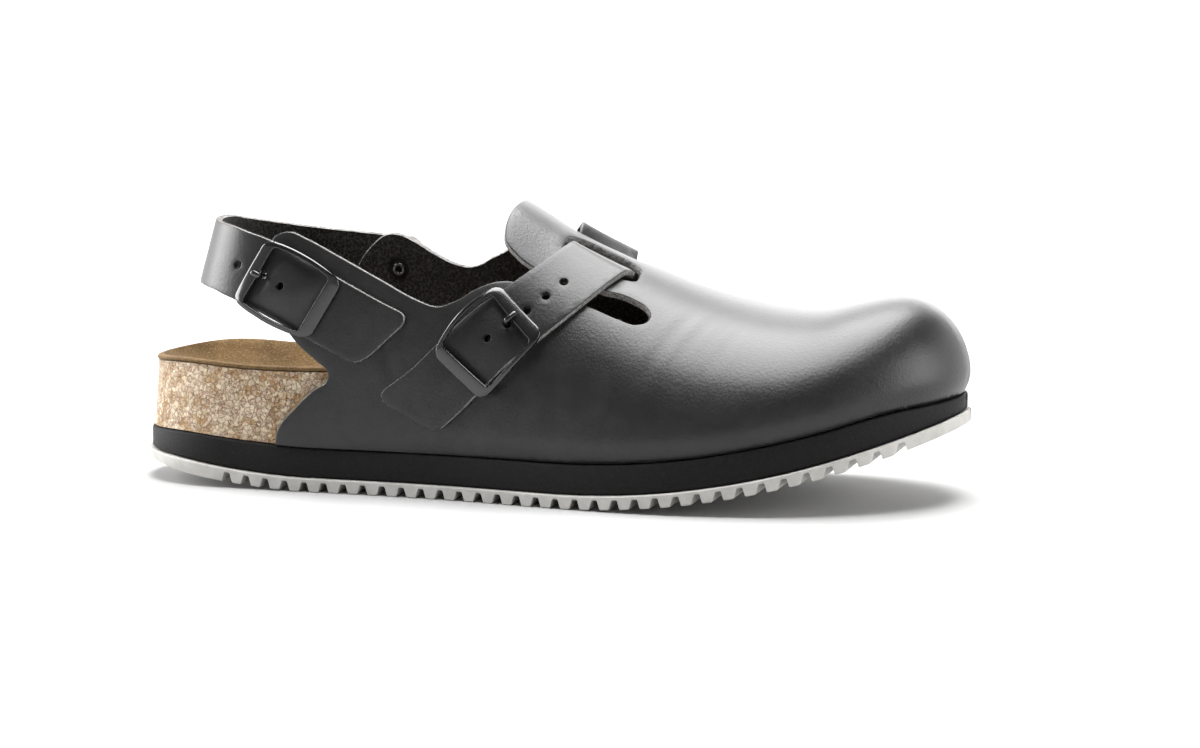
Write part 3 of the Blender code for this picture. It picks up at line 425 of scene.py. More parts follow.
def instep(a, b, h):
    """Point of the instep strap: run from its free end, place over its width, height above the
    outer face of the upper at the middle line's own height."""
    s, u, over = centre_line(INSTEP_PATH, "s", "u", "over")
    line = last(s, u)
    run = run_up(np.linalg.norm(np.diff(line, axis=0), axis=1))
    at = [np.interp(a, run, value) for value in (s, u, over)]
    eps = 0.002
    ds = (last(at[0] + eps, at[1]) - last(at[0] - eps, at[1])) / (2 * eps)
    du = (last(at[0], at[1] + eps) - last(at[0], at[1] - eps)) / (2 * eps)
    lead = [np.interp(a + eps, run, value) - np.interp(a - eps, run, value) for value in (s, u)]
    forward = ds * lead[0][..., None] + du * lead[1][..., None]
    n = normal(last, at[0], at[1])
    aside = np.cross(n, forward)
    aside *= (np.asarray(b)[..., None] / np.linalg.norm(aside, axis=-1, keepdims=True))
    ss, su, uu = (ds * ds).sum(-1), (ds * du).sum(-1), (du * du).sum(-1)
    sb, ub = (ds * aside).sum(-1), (du * aside).sum(-1)
    room = ss * uu - su * su
    s2, u2 = at[0] + (sb * uu - ub * su) / room, at[1] + (ub * ss - sb * su) / room
    lift = (WALL + STRAP) / 2 * (at[2] - 1) + GAP * at[2]
    return last(s2, u2) + normal(last, s2, u2) * (lift + h)[..., None]


def side_y(x, z, side):
    """Half of the upper's section at a height, from the middle to one side."""
    fy = edge(x / LENGTH, side)[1]
    cy = BALL_WIDTH * read(SECTIONS, "spine", x / LENGTH) - AXIS_Y
    full = read(SECTIONS, "outer" if side < 0 else "inner", x / LENGTH)
    base = midsole_top(x) + GAP
    tall = np.clip((z - base) / (crest(x) - base), 0, 1)
    return cy + (fy - cy) * (1 - tall ** read(SECTIONS, "crown", x / LENGTH)) ** (1 / full)


def loop(z):
    """Level line that the heel strap follows at a height: along the outer side of the upper, round
    the heel in a free curve and along the inner side, with the run up to each of its points."""
    z = np.asarray(z, float)[..., None]
    x = np.linspace(LOOP_REACH, HEEL_STRAP_SIDE, 24)
    outer, inner = (side_y(x, z, side) for side in (-1, 1))
    angle = np.linspace(0, math.pi / 2, 40)[1:]
    back = HEEL_STRAP_BACK + (z - HEEL_STRAP_HEIGHT) * HEEL_STRAP_LEAN
    turn = HEEL_STRAP_SIDE - (HEEL_STRAP_SIDE - back) * np.sin(angle) ** (2 / HEEL_STRAP_FULL)
    half = (inner[..., -1:] - outer[..., -1:]) / 2 * np.cos(angle) ** (2 / HEEL_STRAP_FULL)
    middle = (outer[..., -1:] + inner[..., -1:]) / 2
    side = np.broadcast_to(x, outer.shape)
    xs = np.concatenate((side, turn, turn[..., -2::-1], side[..., ::-1]), axis=-1)
    ys = (outer, middle - half, middle + half[..., -2::-1], inner[..., ::-1])
    ys = np.concatenate(ys, axis=-1)
    step = np.hypot(np.diff(xs, axis=-1), np.diff(ys, axis=-1))
    run = np.concatenate((np.zeros(step.shape[:-1] + (1,)), np.cumsum(step, axis=-1)), axis=-1)
    return xs, ys, run, run[..., len(x) + len(angle) - 1]


def heel_loop(z, around):
    """Surface of those level lines; around runs from the back, negative on the outer side."""
    z, around = np.broadcast_arrays(z, around)
    xs, ys, run, half = loop(z)
    want = (half * (1 + around / loop(HEEL_STRAP_HEIGHT)[3]))[..., None]
    k = np.clip((run < want).sum(axis=-1, keepdims=True) - 1, 0, run.shape[-1] - 2)
    low, high = np.take_along_axis(run, k, -1), np.take_along_axis(run, k + 1, -1)
    t = (want - low) / (high - low)
    x, y = (np.take_along_axis(v, k, -1) * (1 - t) + np.take_along_axis(v, k + 1, -1) * t
            for v in (xs, ys))
    return columns(x[..., 0], y[..., 0], z)


def heel(a, b, h):
    """Point of the heel strap: run from its free end, place over its width, height above the
    surface that it follows."""
    around, height = centre_line(HEEL_PATH, "round", "height")
    around, height = around * HEEL_WIDTH, height * HEEL_STRAP_HEIGHT
    run = run_up(np.hypot(np.diff(around), np.diff(height)))
    eps = 0.002
    at = [np.interp(a, run, value) for value in (around, height)]
    lead = [np.interp(a + eps, run, value) - np.interp(a - eps, run, value)
            for value in (around, height)]
    size = np.hypot(*lead)
    d, z = at[0] - b * lead[1] / size, at[1] + b * lead[0] / size
    return heel_loop(z, d) + normal(heel_loop, z, d, 0.0005) * (GAP + h)[..., None]


def run_length(place):
    """Length of a strap's middle line."""
    if place is instep:
        s, u = centre_line(INSTEP_PATH, "s", "u")
        return np.linalg.norm(np.diff(last(s, u), axis=0), axis=1).sum()
    around, height = centre_line(HEEL_PATH, "round", "height")
    return np.hypot(np.diff(around * HEEL_WIDTH), np.diff(height * HEEL_STRAP_HEIGHT)).sum()


print("straps:", [round(run_length(place), 4) for place in (instep, heel)], "m")


# %% Inside a loop
def inside(loop, points):
    """Which points lie inside a closed loop of the flat pattern."""
    a, b = loop, np.roll(loop, -1, axis=0)
    x, y = points[:, None, 0], points[:, None, 1]
    crosses = (a[:, 1] > y) != (b[:, 1] > y)
    run = np.where(a[:, 1] == b[:, 1], 1.0, b[:, 1] - a[:, 1])
    left = x < a[:, 0] + (y - a[:, 1]) * (b[:, 0] - a[:, 0]) / run
    return ((crosses & left).sum(axis=1) % 2) == 1


# %% [markdown]
# ## Camera
# A long lens from a metre and a half away, a little above the shoe and turned towards its heel. A
# camera can be dragged into place, but this one is worked out from a few angles and sizes, so that
# it matches the photograph each time.
# %% Camera
TURN, RISE, ROLL = (math.radians(v) for v in (14, 7.5, 0.2))
AIM, DISTANCE = Vector((0, 0, 0.045)), 1.5
PICTURE_WIDTH, FILM = 1200, 36
SCALE = 2944             # pixels of the picture for each metre at the shoe
MIDDLE = (0.01665, -0.00671)  # the picture's middle from the aim, to the right and up



def linked(name, data):
    """New object in the scene, at the origin."""
    obj = bpy.data.objects.new(name, data)
    bpy.context.scene.collection.objects.link(obj)
    return obj


right = Vector((math.cos(TURN), math.sin(TURN), 0))
back = Vector((math.sin(TURN) * math.cos(RISE), -math.cos(TURN) * math.cos(RISE), math.sin(RISE)))
up = back.cross(right)
lens = bpy.data.cameras.new("camera")
lens.sensor_width, lens.lens = FILM, SCALE * DISTANCE / PICTURE_WIDTH * FILM
camera = linked("camera", lens)
place = AIM + right * MIDDLE[0] + up * MIDDLE[1] + back * DISTANCE
camera.matrix_world = (Matrix.Translation(place) @ Matrix((right, up, back)).transposed().to_4x4()
                       @ Matrix.Rotation(ROLL, 4, "Z"))
bpy.context.scene.camera = camera
print("camera at", [round(v, 3) for v in place], "lens", round(lens.lens, 1))

# %% [markdown]
# ## Materials as sums
# A shader is easier to read as arithmetic than as a web of boxes. `Wire` is one output of a node;
# adding or multiplying wires makes the maths nodes.
# %% Wires
MM = 1000.0              # the textures are thought of in millimetres


class Wire:
    """One output of a node that can be added, multiplied and mixed like a number."""
    def __init__(self, graph, socket):
        self.graph, self.socket = graph, socket

    def maths(self, kind, a, b=0.0):
        return self.graph.node("ShaderNodeMath", {"operation": kind}, {0: a, 1: b})

    def __add__(self, other): return self.maths("ADD", self, other)
    def __sub__(self, other): return self.maths("SUBTRACT", self, other)
    def __mul__(self, other): return self.maths("MULTIPLY", self, other)
    def __rsub__(self, other): return self.maths("SUBTRACT", other, self)
    def __rtruediv__(self, other): return self.maths("DIVIDE", other, self)
    __radd__, __rmul__ = __add__, __mul__

    def ramp(self, low, high):
        """0 below low, 1 above high, smooth between."""
        return self.graph.node("ShaderNodeMapRange", {"interpolation_type": "SMOOTHSTEP"},
                               {"Value": self, "From Min": low, "From Max": high})


class Graph:
    """A node tree under construction; every node of this script comes from its one method."""
    def node(self, kind, settings=None, inputs=None, out=0):
        """Any node: its type, its settings, its inputs by name or number, the output wanted."""
        node = self.tree.nodes.new(kind)
        for key, value in (settings or {}).items():
            setattr(node, key, value)
        for key, value in (inputs or {}).items():
            if isinstance(value, Wire):
                self.tree.links.new(value.socket, node.inputs[key])
            else:
                node.inputs[key].default_value = value
        return Wire(self, node.outputs[out])


# %% Looks as sums
class Look(Graph):
    """A material under construction, with its texture coordinates in millimetres."""
    def __init__(self, name, **fixed):
        self.material = bpy.data.materials.new(name)
        self.material.use_nodes = True
        self.tree = self.material.node_tree
        self.shader = self.tree.nodes["Principled BSDF"]
        for key, value in fixed.items():
            self.shader.inputs[key.replace("_", " ")].default_value = value
        self.place = self.node("ShaderNodeTexCoord", out="Object")
        self.mm = self.vector("SCALE", self.place, Scale=MM)

    def vector(self, kind, a, b=None, out=0, **more):
        inputs = {0: a, **more} if b is None else {0: a, 1: b, **more}
        return self.node("ShaderNodeVectorMath", {"operation": kind}, inputs, out)

    def channel(self, colour, number):
        return self.node("ShaderNodeSeparateColor", None, {0: colour}, number)

    def noise(self, size, detail=3.0, rough=0.55, stretch=None):
        """Cloudy pattern whose lumps are size millimetres across."""
        at = self.vector("MULTIPLY", self.mm, stretch) if stretch else self.mm
        return self.node("ShaderNodeTexNoise", None,
                         {"Vector": at, "Scale": 1 / size, "Detail": detail, "Roughness": rough})

    def cells(self, size, kind="F1", out="Distance", jitter=1.0, at=None):
        """Pattern of cells that are size millimetres across."""
        return self.node("ShaderNodeTexVoronoi", {"feature": kind},
                         {"Vector": at or self.mm, "Scale": 1 / size, "Randomness": jitter}, out)

    def mix(self, share, a, b):
        """Colour between a and b."""
        colours = [(*c, 1.0) if isinstance(c, tuple) and len(c) == 3 else c for c in (a, b)]
        inputs = dict(zip((0, 6, 7), (share, *colours)))
        return self.node("ShaderNodeMix", {"data_type": "RGBA"}, inputs, 2)

    def join(self, wire, name):
        self.tree.links.new(wire.socket, self.shader.inputs[name])

    def finish(self, colour, roughness, height, depth, strength=1.0):
        """Joins the patterns to the shader; height is in shares of depth, depth in millimetres."""
        bump = self.node("ShaderNodeBump", None,
                         {"Height": height, "Strength": strength, "Distance": depth / MM})
        for wire, name in ((bump, "Normal"), (colour, "Base Color"), (roughness, "Roughness")):
            self.join(wire, name)
        return self.material


# %% [markdown]
# ## The looks
# Smooth leather has a fine pebbled grain under a satin finish. Its cut edge is raw fibre, painted
# pale also as a highlight along the rim; its back is suede, with painted shade round the rivets.
# Cork is crumbs of several browns with dark pits between them.
# %% Leather
def leather_look():
    look = Look("grain_leather", Coat_Weight=0.10, Coat_Roughness=0.28, Specular_IOR_Level=0.42)
    pebble = look.cells(0.95, "SMOOTH_F1", jitter=0.9)
    fine = look.noise(0.45, 3.0, 0.65)
    cloud = look.noise(9.0, 3.0)
    wave = look.noise(5.5, 2.0, stretch=(0.7, 1.0, 1.6))
    pores = look.cells(1.3).ramp(0.0, 0.14)
    colour = look.mix(cloud.ramp(0.35, 0.7), (0.0080, 0.0080, 0.0080), (0.0130, 0.0127, 0.0125))
    rough = 0.30 + 0.13 * fine + 0.05 * cloud
    height = pebble * 0.65 + fine * 0.6 + pores * 0.3 + wave * 0.25
    return look.finish(colour, rough, height, depth=0.11, strength=0.85)


# %% Cut edge and its painted highlight
def edge_and_highlight_look():
    look = Look("cut_leather_edge")
    fibre = look.noise(0.28, 4.0, 0.7)
    clump = look.noise(1.1, 3.0)
    # The pale colour is partly the raw fibre's own and partly a painted highlight along the edge.
    pale = (fibre * 0.6 + clump * 0.5).ramp(0.38, 0.66)
    colour = look.mix(pale, (0.05, 0.049, 0.048), (0.36, 0.35, 0.34))
    return look.finish(colour, 0.82 + 0.15 * fibre, fibre + clump * 0.5, depth=0.16)


# %% Suede back, with painted shade round the rivets
def flesh_look():
    look = Look("suede_back", Sheen_Weight=0.12, Sheen_Roughness=0.5, Specular_IOR_Level=0.15)
    nap = look.noise(0.55, 4.0, 0.75)
    tuft = look.cells(1.0)
    pale = (nap * 0.8 + tuft * 0.3).ramp(0.46, 0.72)
    colour = look.mix(pale, (0.0025, 0.0025, 0.0026), (0.036, 0.035, 0.033))
    # Round each rivet's turned-over end a dark disc is painted shade of the recess there; the same
    # disc also presses the bump in.
    pressed_and_shaded = 0.0
    for place in (instep, heel):
        spot = place(np.array([run_length(place) - RIVET_PLACE]), np.zeros(1), np.zeros(1))[0]
        spot[0] -= LENGTH / 2
        away = look.vector("DISTANCE", look.place, tuple(spot), out="Value")
        pressed_and_shaded = pressed_and_shaded + (1 - (away * MM).ramp(4.2, 5.4))
    colour = look.mix(pressed_and_shaded * 0.9, colour, (0.0012, 0.0012, 0.0012))
    height = nap * (1 - 0.8 * pressed_and_shaded) + tuft * 0.5 - 2.5 * pressed_and_shaded
    return look.finish(colour, 0.88 + 0.1 * nap, height, depth=0.22)


# %% Cork
def cork_look():
    look = Look("cork_crumbs")
    drift = look.node("ShaderNodeTexNoise", None,
                      {"Vector": look.mm, "Scale": 1.3, "Detail": 3.0}, "Color")
    wander = look.vector("ADD", look.mm, look.vector("SCALE", drift, Scale=1.6))
    tint = look.cells(1.7, out="Color", at=wander)
    shade, other = look.channel(tint, 0), look.channel(tint, 1)
    gap = look.cells(1.7, "DISTANCE_TO_EDGE", at=wander).ramp(0.0, 0.11)
    speck = look.noise(0.85, 4.0, 0.75)
    patch = look.noise(6.0, 3.0)
    pit = look.noise(1.1, 5.0, 0.75).ramp(0.58, 0.70)
    base = look.mix(shade.ramp(0.1, 0.8), (0.48, 0.24, 0.07), (1.0, 0.80, 0.54))
    base = look.mix(other.ramp(0.6, 0.95) * 0.7, base, (0.70, 0.44, 0.31))
    base = look.mix(speck.ramp(0.42, 0.66) * 0.75, base, (1.0, 0.90, 0.72))
    base = look.mix(patch.ramp(0.48, 0.66) * 0.4, base, (0.98, 0.78, 0.60))
    base = look.mix(patch.ramp(0.50, 0.34) * 0.65, base, (0.60, 0.33, 0.11))
    base = look.mix((1 - gap) * (0.2 + 0.6 * other), base, (0.30, 0.14, 0.05))
    base = look.mix(pit * 0.7, base, (0.16, 0.07, 0.025))
    height = gap * 0.6 + shade * 0.7 - pit * 1.2 + speck * 1.6
    return look.finish(base, 0.42 + 0.35 * speck, height, depth=1.0)


# %% Suede lining
def lining_look():
    look = Look("suede_lining", Sheen_Weight=0.05, Sheen_Roughness=0.5, Specular_IOR_Level=0.2)
    nap = look.noise(0.7, 4.0, 0.75)
    cloud = look.noise(7.0, 4.0)
    worn = look.noise(24.0, 2.0)
    colour = look.mix(cloud.ramp(0.3, 0.75), (0.105, 0.060, 0.022), (0.165, 0.100, 0.041))
    colour = look.mix(nap.ramp(0.45, 0.68) * 0.65, colour, (0.30, 0.20, 0.095))
    colour = look.mix(worn.ramp(0.55, 0.8) * 0.35, colour, (0.066, 0.04, 0.018))
    return look.finish(colour, 0.86 + 0.12 * nap, nap + look.cells(0.9) * 0.3, depth=0.30)


# %% Foam
def foam_look():
    look = Look("black_foam", Specular_IOR_Level=0.2)
    skin = look.cells(0.42)
    mottle = look.noise(0.9, 4.0)
    colour = look.mix(mottle.ramp(0.4, 0.75), (0.003, 0.003, 0.003), (0.0085, 0.008, 0.0075))
    return look.finish(colour, 0.50 + 0.25 * mottle, skin * 0.7 + mottle * 0.8, depth=0.16)


# %% Rubber
def rubber_look():
    look = Look("grey_rubber")
    cloud = look.noise(6.0, 4.0)
    grit = look.noise(0.3, 3.0)
    dust = look.noise(2.2, 4.0).ramp(0.5, 0.8)
    colour = look.mix(cloud.ramp(0.3, 0.7), (0.43, 0.42, 0.395), (0.52, 0.51, 0.485))
    colour = look.mix(dust * 0.3, colour, (0.60, 0.59, 0.56))
    return look.finish(colour, 0.52 + 0.2 * cloud, grit, depth=0.03)


# %% Metal
def metal_look():
    look = Look("black_lacquered_metal", Coat_Weight=0.6, Coat_Roughness=0.06)
    orange = look.noise(0.8, 3.0)
    colour = look.mix(look.noise(3.0, 2.0), (0.004, 0.004, 0.0042), (0.009, 0.009, 0.0092))
    return look.finish(colour, 0.16 + 0.10 * orange, orange, depth=0.003)


# %% All the looks
GRAIN, EDGE_AND_HIGHLIGHT, FLESH, CORK, SUEDE, FOAM, RUBBER, METAL = (make() for make in (
    leather_look, edge_and_highlight_look, flesh_look, cork_look, lining_look, foam_look, rubber_look,
    metal_look))
print("looks:", [m.name for m in bpy.data.materials if m.use_nodes][-8:])


# %% [markdown]
# ## Mesh helpers
# Pieces are measured from the back of the heel and set over the middle of the shoe at the end.
# %% Mesh helpers
def solid(name, points, faces, materials, slots=None, sharp=50):
    """Closed smooth piece, faces turned outwards; slots gives each face its material."""
    mesh = bpy.data.meshes.new(name)
    mesh.from_pydata((np.asarray(points) - (LENGTH / 2, 0, 0)).tolist(), [], faces)
    for material in materials:
        mesh.materials.append(material)
    if slots is not None:
        mesh.polygons.foreach_set("material_index", slots)
    shape = bmesh.new()
    shape.from_mesh(mesh)
    bmesh.ops.remove_doubles(shape, verts=shape.verts, dist=WELD / 4)
    bmesh.ops.recalc_face_normals(shape, faces=shape.faces)
    shape.to_mesh(mesh)
    shape.free()
    mesh.polygons.foreach_set("use_smooth", [True] * len(mesh.polygons))
    mesh.set_sharp_from_angle(angle=math.radians(sharp))
    return linked(name, mesh)


def hand_over(obj, node):
    """The piece rides on the shoe and stands for its solid, which is hidden."""
    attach(obj, "root")
    if node:
        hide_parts(node)
    print(obj.name, len(obj.data.polygons), "faces")
    return obj


def ring_faces(count, around, closed=False):
    return [[i * around + j, i * around + (j + 1) % around,
             (i + 1) % count * around + (j + 1) % around, (i + 1) % count * around + j]
            for i in range(count if closed else count - 1) for j in range(around)]


def lofted(name, rings, material, sharp=50):
    """Solid through closed rings of equally many points, closed at both ends."""
    rings = np.asarray(rings)
    count, around = rings.shape[:2]
    faces = ring_faces(count, around)
    faces += [list(range(around)), [(count - 1) * around + j for j in range(around)]]
    return solid(name, rings.reshape(-1, 3), faces, (material,), sharp=sharp)


# %% [markdown]
# ## Cut leather
# Leather is cut flat and then bent over a last. So the outline is meshed in the flat pattern, and
# the mesh is laid on the surface twice, for the grain side and the flesh side. A narrow band joins
# the two: rounded over towards the grain, raw where the knife went through. The raw face and the
# last strip of the rounding are painted pale, partly the fibre's colour and partly a painted
# highlight along the rim.
# %% Cut leather
def jacobian(cover, p, q, h, eps):
    dp = (cover(p + eps, q, h) - cover(p - eps, q, h)) / (2 * eps)
    dq = (cover(p, q + eps, h) - cover(p, q - eps, h)) / (2 * eps)
    return dp, dq


def drawn_in(loop, cover, flat, amount, eps, hole=False):
    """The loop moved along the surface towards the leather by a small amount."""
    p, q = loop.T
    h = np.zeros(len(p))
    dp, dq = jacobian(cover, p, q, h, eps)
    point = cover(p, q, h)
    lead = np.roll(point, -1, axis=0) - np.roll(point, 1, axis=0)
    aside = np.cross(np.cross(dp, dq), lead)
    aside *= amount / np.linalg.norm(aside, axis=-1, keepdims=True)
    pp, pq, qq = (dp * dp).sum(-1), (dp * dq).sum(-1), (dq * dq).sum(-1)
    ap, aq = (dp * aside).sum(-1), (dq * aside).sum(-1)
    room = pp * qq - pq * pq
    moved = columns((ap * qq - aq * pq) / room, (aq * pp - ap * pq) / room)
    within = inside(flat(*loop.T), flat(*(loop + moved).T)).mean() > 0.5
    return loop + moved if within != hole else loop - moved


SPACING = 0.74           # least distance between two points, share of the step


def thinned(points, fixed, step):
    """Which points stay so that all keep their distance, found with a coarse grid of boxes."""
    boxes, keep, beside = {}, [], (-1, 0, 1)

    def near(spot, least, key):
        return any(np.dot(spot - o, spot - o) < least for dx in beside for dy in beside
                   for dz in beside for o in boxes.get((key[0] + dx, key[1] + dy, key[2] + dz), ()))
    for spot in fixed:
        boxes.setdefault(tuple((spot // step).astype(int)), []).append(spot)
    for i, spot in enumerate(points):
        key = tuple((spot // step).astype(int))
        if not near(spot, (SPACING * step) ** 2, key):
            boxes.setdefault(key, []).append(spot)
            keep.append(i)
    return keep


# %% One cut sheet
def cut_leather(name, loops, cover, flat, seeds, step, thick, eps, round_edge=0.0005, raw_loops=1):
    """Bent sheet between its cut loops: grain outside, flesh inside, and a raw edge round the
    first loops; the others are punched, and their walls take the dark flesh look as painted shade
    inside the holes."""
    inner = [drawn_in(loop, cover, flat, round_edge, eps, i > 0) for i, loop in enumerate(loops)]
    borders = [flat(*loop.T) for loop in inner]
    fixed = np.concatenate(inner)
    spots = flat(*seeds.T)
    keep = inside(borders[0], spots)
    for border in borders[1:]:
        keep &= ~inside(border, spots)
    seeds = seeds[keep]
    zero = np.zeros(len(seeds))
    seeds = seeds[thinned(cover(*seeds.T, zero), cover(*fixed.T, np.zeros(len(fixed))), step)]
    all_in = np.concatenate((fixed, seeds))
    raw = sum(len(loop) for loop in inner[:raw_loops])
    rims, start = [], 0
    for loop in inner:
        rims += [(start + i, start + (i + 1) % len(loop)) for i in range(len(loop))]
        start += len(loop)
    spots = [Vector(p) for p in flat(*all_in.T)]
    verts, _, faces, source, _, _ = delaunay_2d_cdt(spots, rims, [], 0, 1e-10)
    centre = np.array([np.mean([verts[i] for i in face], axis=0) for face in faces])
    keep = inside(borders[0], centre)
    for border in borders[1:]:
        keep &= ~inside(border, centre)
    tris = [[source[i][0] for i in face] for face, ok in zip(faces, keep) if ok]
    count, edge_count = len(all_in), len(fixed)
    whole = np.concatenate(loops)
    points = [cover(*all_in.T, np.full(count, thick)), cover(*all_in.T, np.zeros(count))]
    turns = (0.5, 1.0, math.pi / 2)
    shares = [(math.sin(t), thick - round_edge * (1 - math.cos(t))) for t in turns]
    shares += [(1.0, thick * 0.5), (1.0, round_edge * 0.6), (0.6, 0.0)]
    for out, h in shares:
        at = fixed + (whole - fixed) * out
        points.append(cover(*at.T, np.full(edge_count, h)))
    layer = [0] + [2 * count + k * edge_count for k in range(len(shares))] + [count]
    # The last strip of the grain's rounding takes the pale edge look, a painted highlight along the
    # rim; the raw face takes it too.
    band_slot = [0, 0, 1, 1, 1, 1, 2]
    faces, slots = list(tris), [0] * len(tris)
    faces += [[count + i for i in face[::-1]] for face in tris]
    slots += [2] * len(tris)
    for a, b in rims:
        for k in range(len(layer) - 1):
            faces.append([layer[k] + a, layer[k] + b, layer[k + 1] + b, layer[k + 1] + a])
            # Walls of punched holes take the dark flesh look: painted shade inside the holes.
            slots.append(band_slot[k] if a < raw else 2 * (k > 0))
    return solid(name, np.concatenate(points), faces, (GRAIN, EDGE_AND_HIGHLIGHT, FLESH), slots)


# %% [markdown]
# ## Two small growers
# What repeats over a surface is left to geometry nodes. One tree lets fibres stand out of the raw
# edges, the other raises and pits the face of the cork. Each has named inputs; the one that
# scatters has fixed seeds.
# %% A tree under construction
class Grower(Graph):
    """A geometry node tree under construction, with its inputs kept by name."""
    def __init__(self, name, **inputs):
        self.tree = bpy.data.node_groups.new(name, "GeometryNodeTree")
        self.values = inputs
        kinds = {float: "NodeSocketFloat", int: "NodeSocketInt",
                 bpy.types.Material: "NodeSocketMaterial"}
        face = self.tree.interface
        face.new_socket("Geometry", in_out="INPUT", socket_type="NodeSocketGeometry")
        face.new_socket("Geometry", in_out="OUTPUT", socket_type="NodeSocketGeometry")
        self.sockets = {key: face.new_socket(key, in_out="INPUT", socket_type=kinds[type(value)])
                        for key, value in inputs.items()}
        self.source = self.tree.nodes.new("NodeGroupInput")

    def given(self, key):
        return Wire(self, self.source.outputs[key])

    def grown(self, obj, geometry, material):
        """Runs the tree on an object and returns the finished mesh."""
        real = self.node("GeometryNodeRealizeInstances", None, {0: geometry})
        dressed = self.node("GeometryNodeSetMaterial", None,
                            {"Geometry": real, "Material": material})
        end = self.tree.nodes.new("NodeGroupOutput")
        self.tree.links.new(dressed.socket, end.inputs[0])
        modifier = obj.modifiers.new("grow", "NODES")
        modifier.node_group = self.tree
        for key, value in self.values.items():
            modifier[self.sockets[key].identifier] = value
        graph = bpy.context.evaluated_depsgraph_get()
        mesh = bpy.data.meshes.new_from_object(obj.evaluated_get(graph))
        obj.modifiers.remove(modifier)
        return mesh


# %% Fibres
FIBRE_DENSITY = 5.0e6    # fibres for each square metre of raw edge
FIBRE_LENGTH = 0.00055
FIBRE_THICK = 0.00005
FIBRE_FLOOR = 0.030      # no fibres below this height, where the edge meets the sole


def fibres(obj, name):
    """Short fibres standing out of an object's raw edges, as a piece of their own."""
    shape = bmesh.new()
    shape.from_mesh(obj.data)
    rest = [f for f in shape.faces
            if f.material_index != 1 or f.calc_center_median().z < FIBRE_FLOOR]
    bmesh.ops.delete(shape, geom=rest, context="FACES")
    mesh = bpy.data.meshes.new(name)
    shape.to_mesh(mesh)
    shape.free()
    strip = linked(name, mesh)
    grow = Grower("raw_edge_fibres", Density=FIBRE_DENSITY, Length=FIBRE_LENGTH, Seed=7, Fibre=EDGE_AND_HIGHLIGHT)
    points = grow.node("GeometryNodeDistributePointsOnFaces", None,
                       {"Mesh": grow.given("Geometry"), "Density": grow.given("Density"),
                        "Seed": grow.given("Seed")})
    lean = Wire(grow, points.socket.node.outputs["Rotation"])
    cone = grow.node("GeometryNodeMeshCone", None,
                     {"Vertices": 3, "Radius Top": FIBRE_THICK / 4, "Radius Bottom": FIBRE_THICK,
                      "Depth": grow.given("Length")})

    def chance(kind, low, high, seed):
        first, out = (0, 0) if kind == "FLOAT_VECTOR" else (2, 1)
        return grow.node("FunctionNodeRandomValue", {"data_type": kind},
                         {first: low, first + 1: high, "Seed": seed}, out)
    tilt = chance("FLOAT_VECTOR", (-1.1, -1.1, -3.1), (1.1, 1.1, 3.1), 3)
    tilt = grow.node("FunctionNodeEulerToRotation", None, {0: tilt})
    turn = grow.node("FunctionNodeRotateRotation", {"rotation_space": "LOCAL"},
                     {"Rotation": lean, "Rotate By": tilt})
    size = chance("FLOAT", 0.35, 1.0, 5)
    tufts = grow.node("GeometryNodeInstanceOnPoints", None,
                      {"Points": points, "Instance": cone, "Rotation": turn, "Scale": size})
    strip.data = grow.grown(strip, tufts, grow.given("Fibre"))
    return strip


# %% Relief of the cork
CORK_RELIEF = 0.0008
CRUMB = 1.6              # size of a crumb in millimetres


def relief(obj):
    """Crumbs and pits raised on the upright faces of the cork."""
    grow = Grower("cork_relief", Depth=CORK_RELIEF, Crumb=CRUMB, Cork=CORK)
    spot = grow.node("ShaderNodeVectorMath", {"operation": "SCALE"},
                     {0: grow.node("GeometryNodeInputPosition"), "Scale": MM})
    crumb = grow.node("ShaderNodeTexVoronoi", None,
                      {"Vector": spot, "Scale": 1 / grow.given("Crumb")})
    rough = grow.node("ShaderNodeTexNoise", None,
                      {"Vector": spot, "Scale": 0.55, "Detail": 5.0, "Roughness": 0.7})
    facing = grow.node("GeometryNodeInputNormal")
    upright = grow.node("ShaderNodeSeparateXYZ", None, {0: facing}, out=2)
    bare = 1 - grow.node("ShaderNodeMath", {"operation": "ABSOLUTE"}, {0: upright})
    height = ((1 - crumb) * 0.5 + rough * 1.2 - 1.15) * bare * grow.given("Depth")
    push = grow.node("ShaderNodeVectorMath", {"operation": "SCALE"}, {0: facing, "Scale": height})
    moved = grow.node("GeometryNodeSetPosition", None,
                      {"Geometry": grow.given("Geometry"), "Offset": push})
    obj.data = grow.grown(obj, moved, grow.given("Cork"))
    return obj


# %% [markdown]
# ## Upper
# The upper is one thick piece of leather, cut flat with its slots and its collar and pulled over a
# last. It could be sculpted by hand, but its edges would wander. Here the cut lines are a table on
# the last, so that the skin keeps the outline of its solid. The creases are listed in a short
# table, where the leather bends in walking.
# %% Mesh of the upper
SKIN_STEP = 0.0021       # between the points of the skin
SKIN_ROWS = 130          # rows of candidates over the foot
SKIN_NUDGE = 0.002       # in s or u, to find the skin's slope
EDGE_FINE = 0.0011       # between the points of a cut edge
TOE_POINTS = 260         # points along the lower edge
print("skin: a point every", SKIN_STEP * MM, "mm")


def chain(points, step):
    """Smooth curve through rows of pattern values, with samples a step apart."""
    rows = np.array(points)
    run = run_up(np.linalg.norm(np.diff(pattern(*rows.T), axis=0), axis=1))
    tab = dict(zip(("run", "s", "u"), (run, rows[:, 0], rows[:, 1])))
    at = np.linspace(0, run[-1], max(int(round(run[-1] / step)), 2) + 1)
    return columns(read(tab, "s", at), read(tab, "u", at))


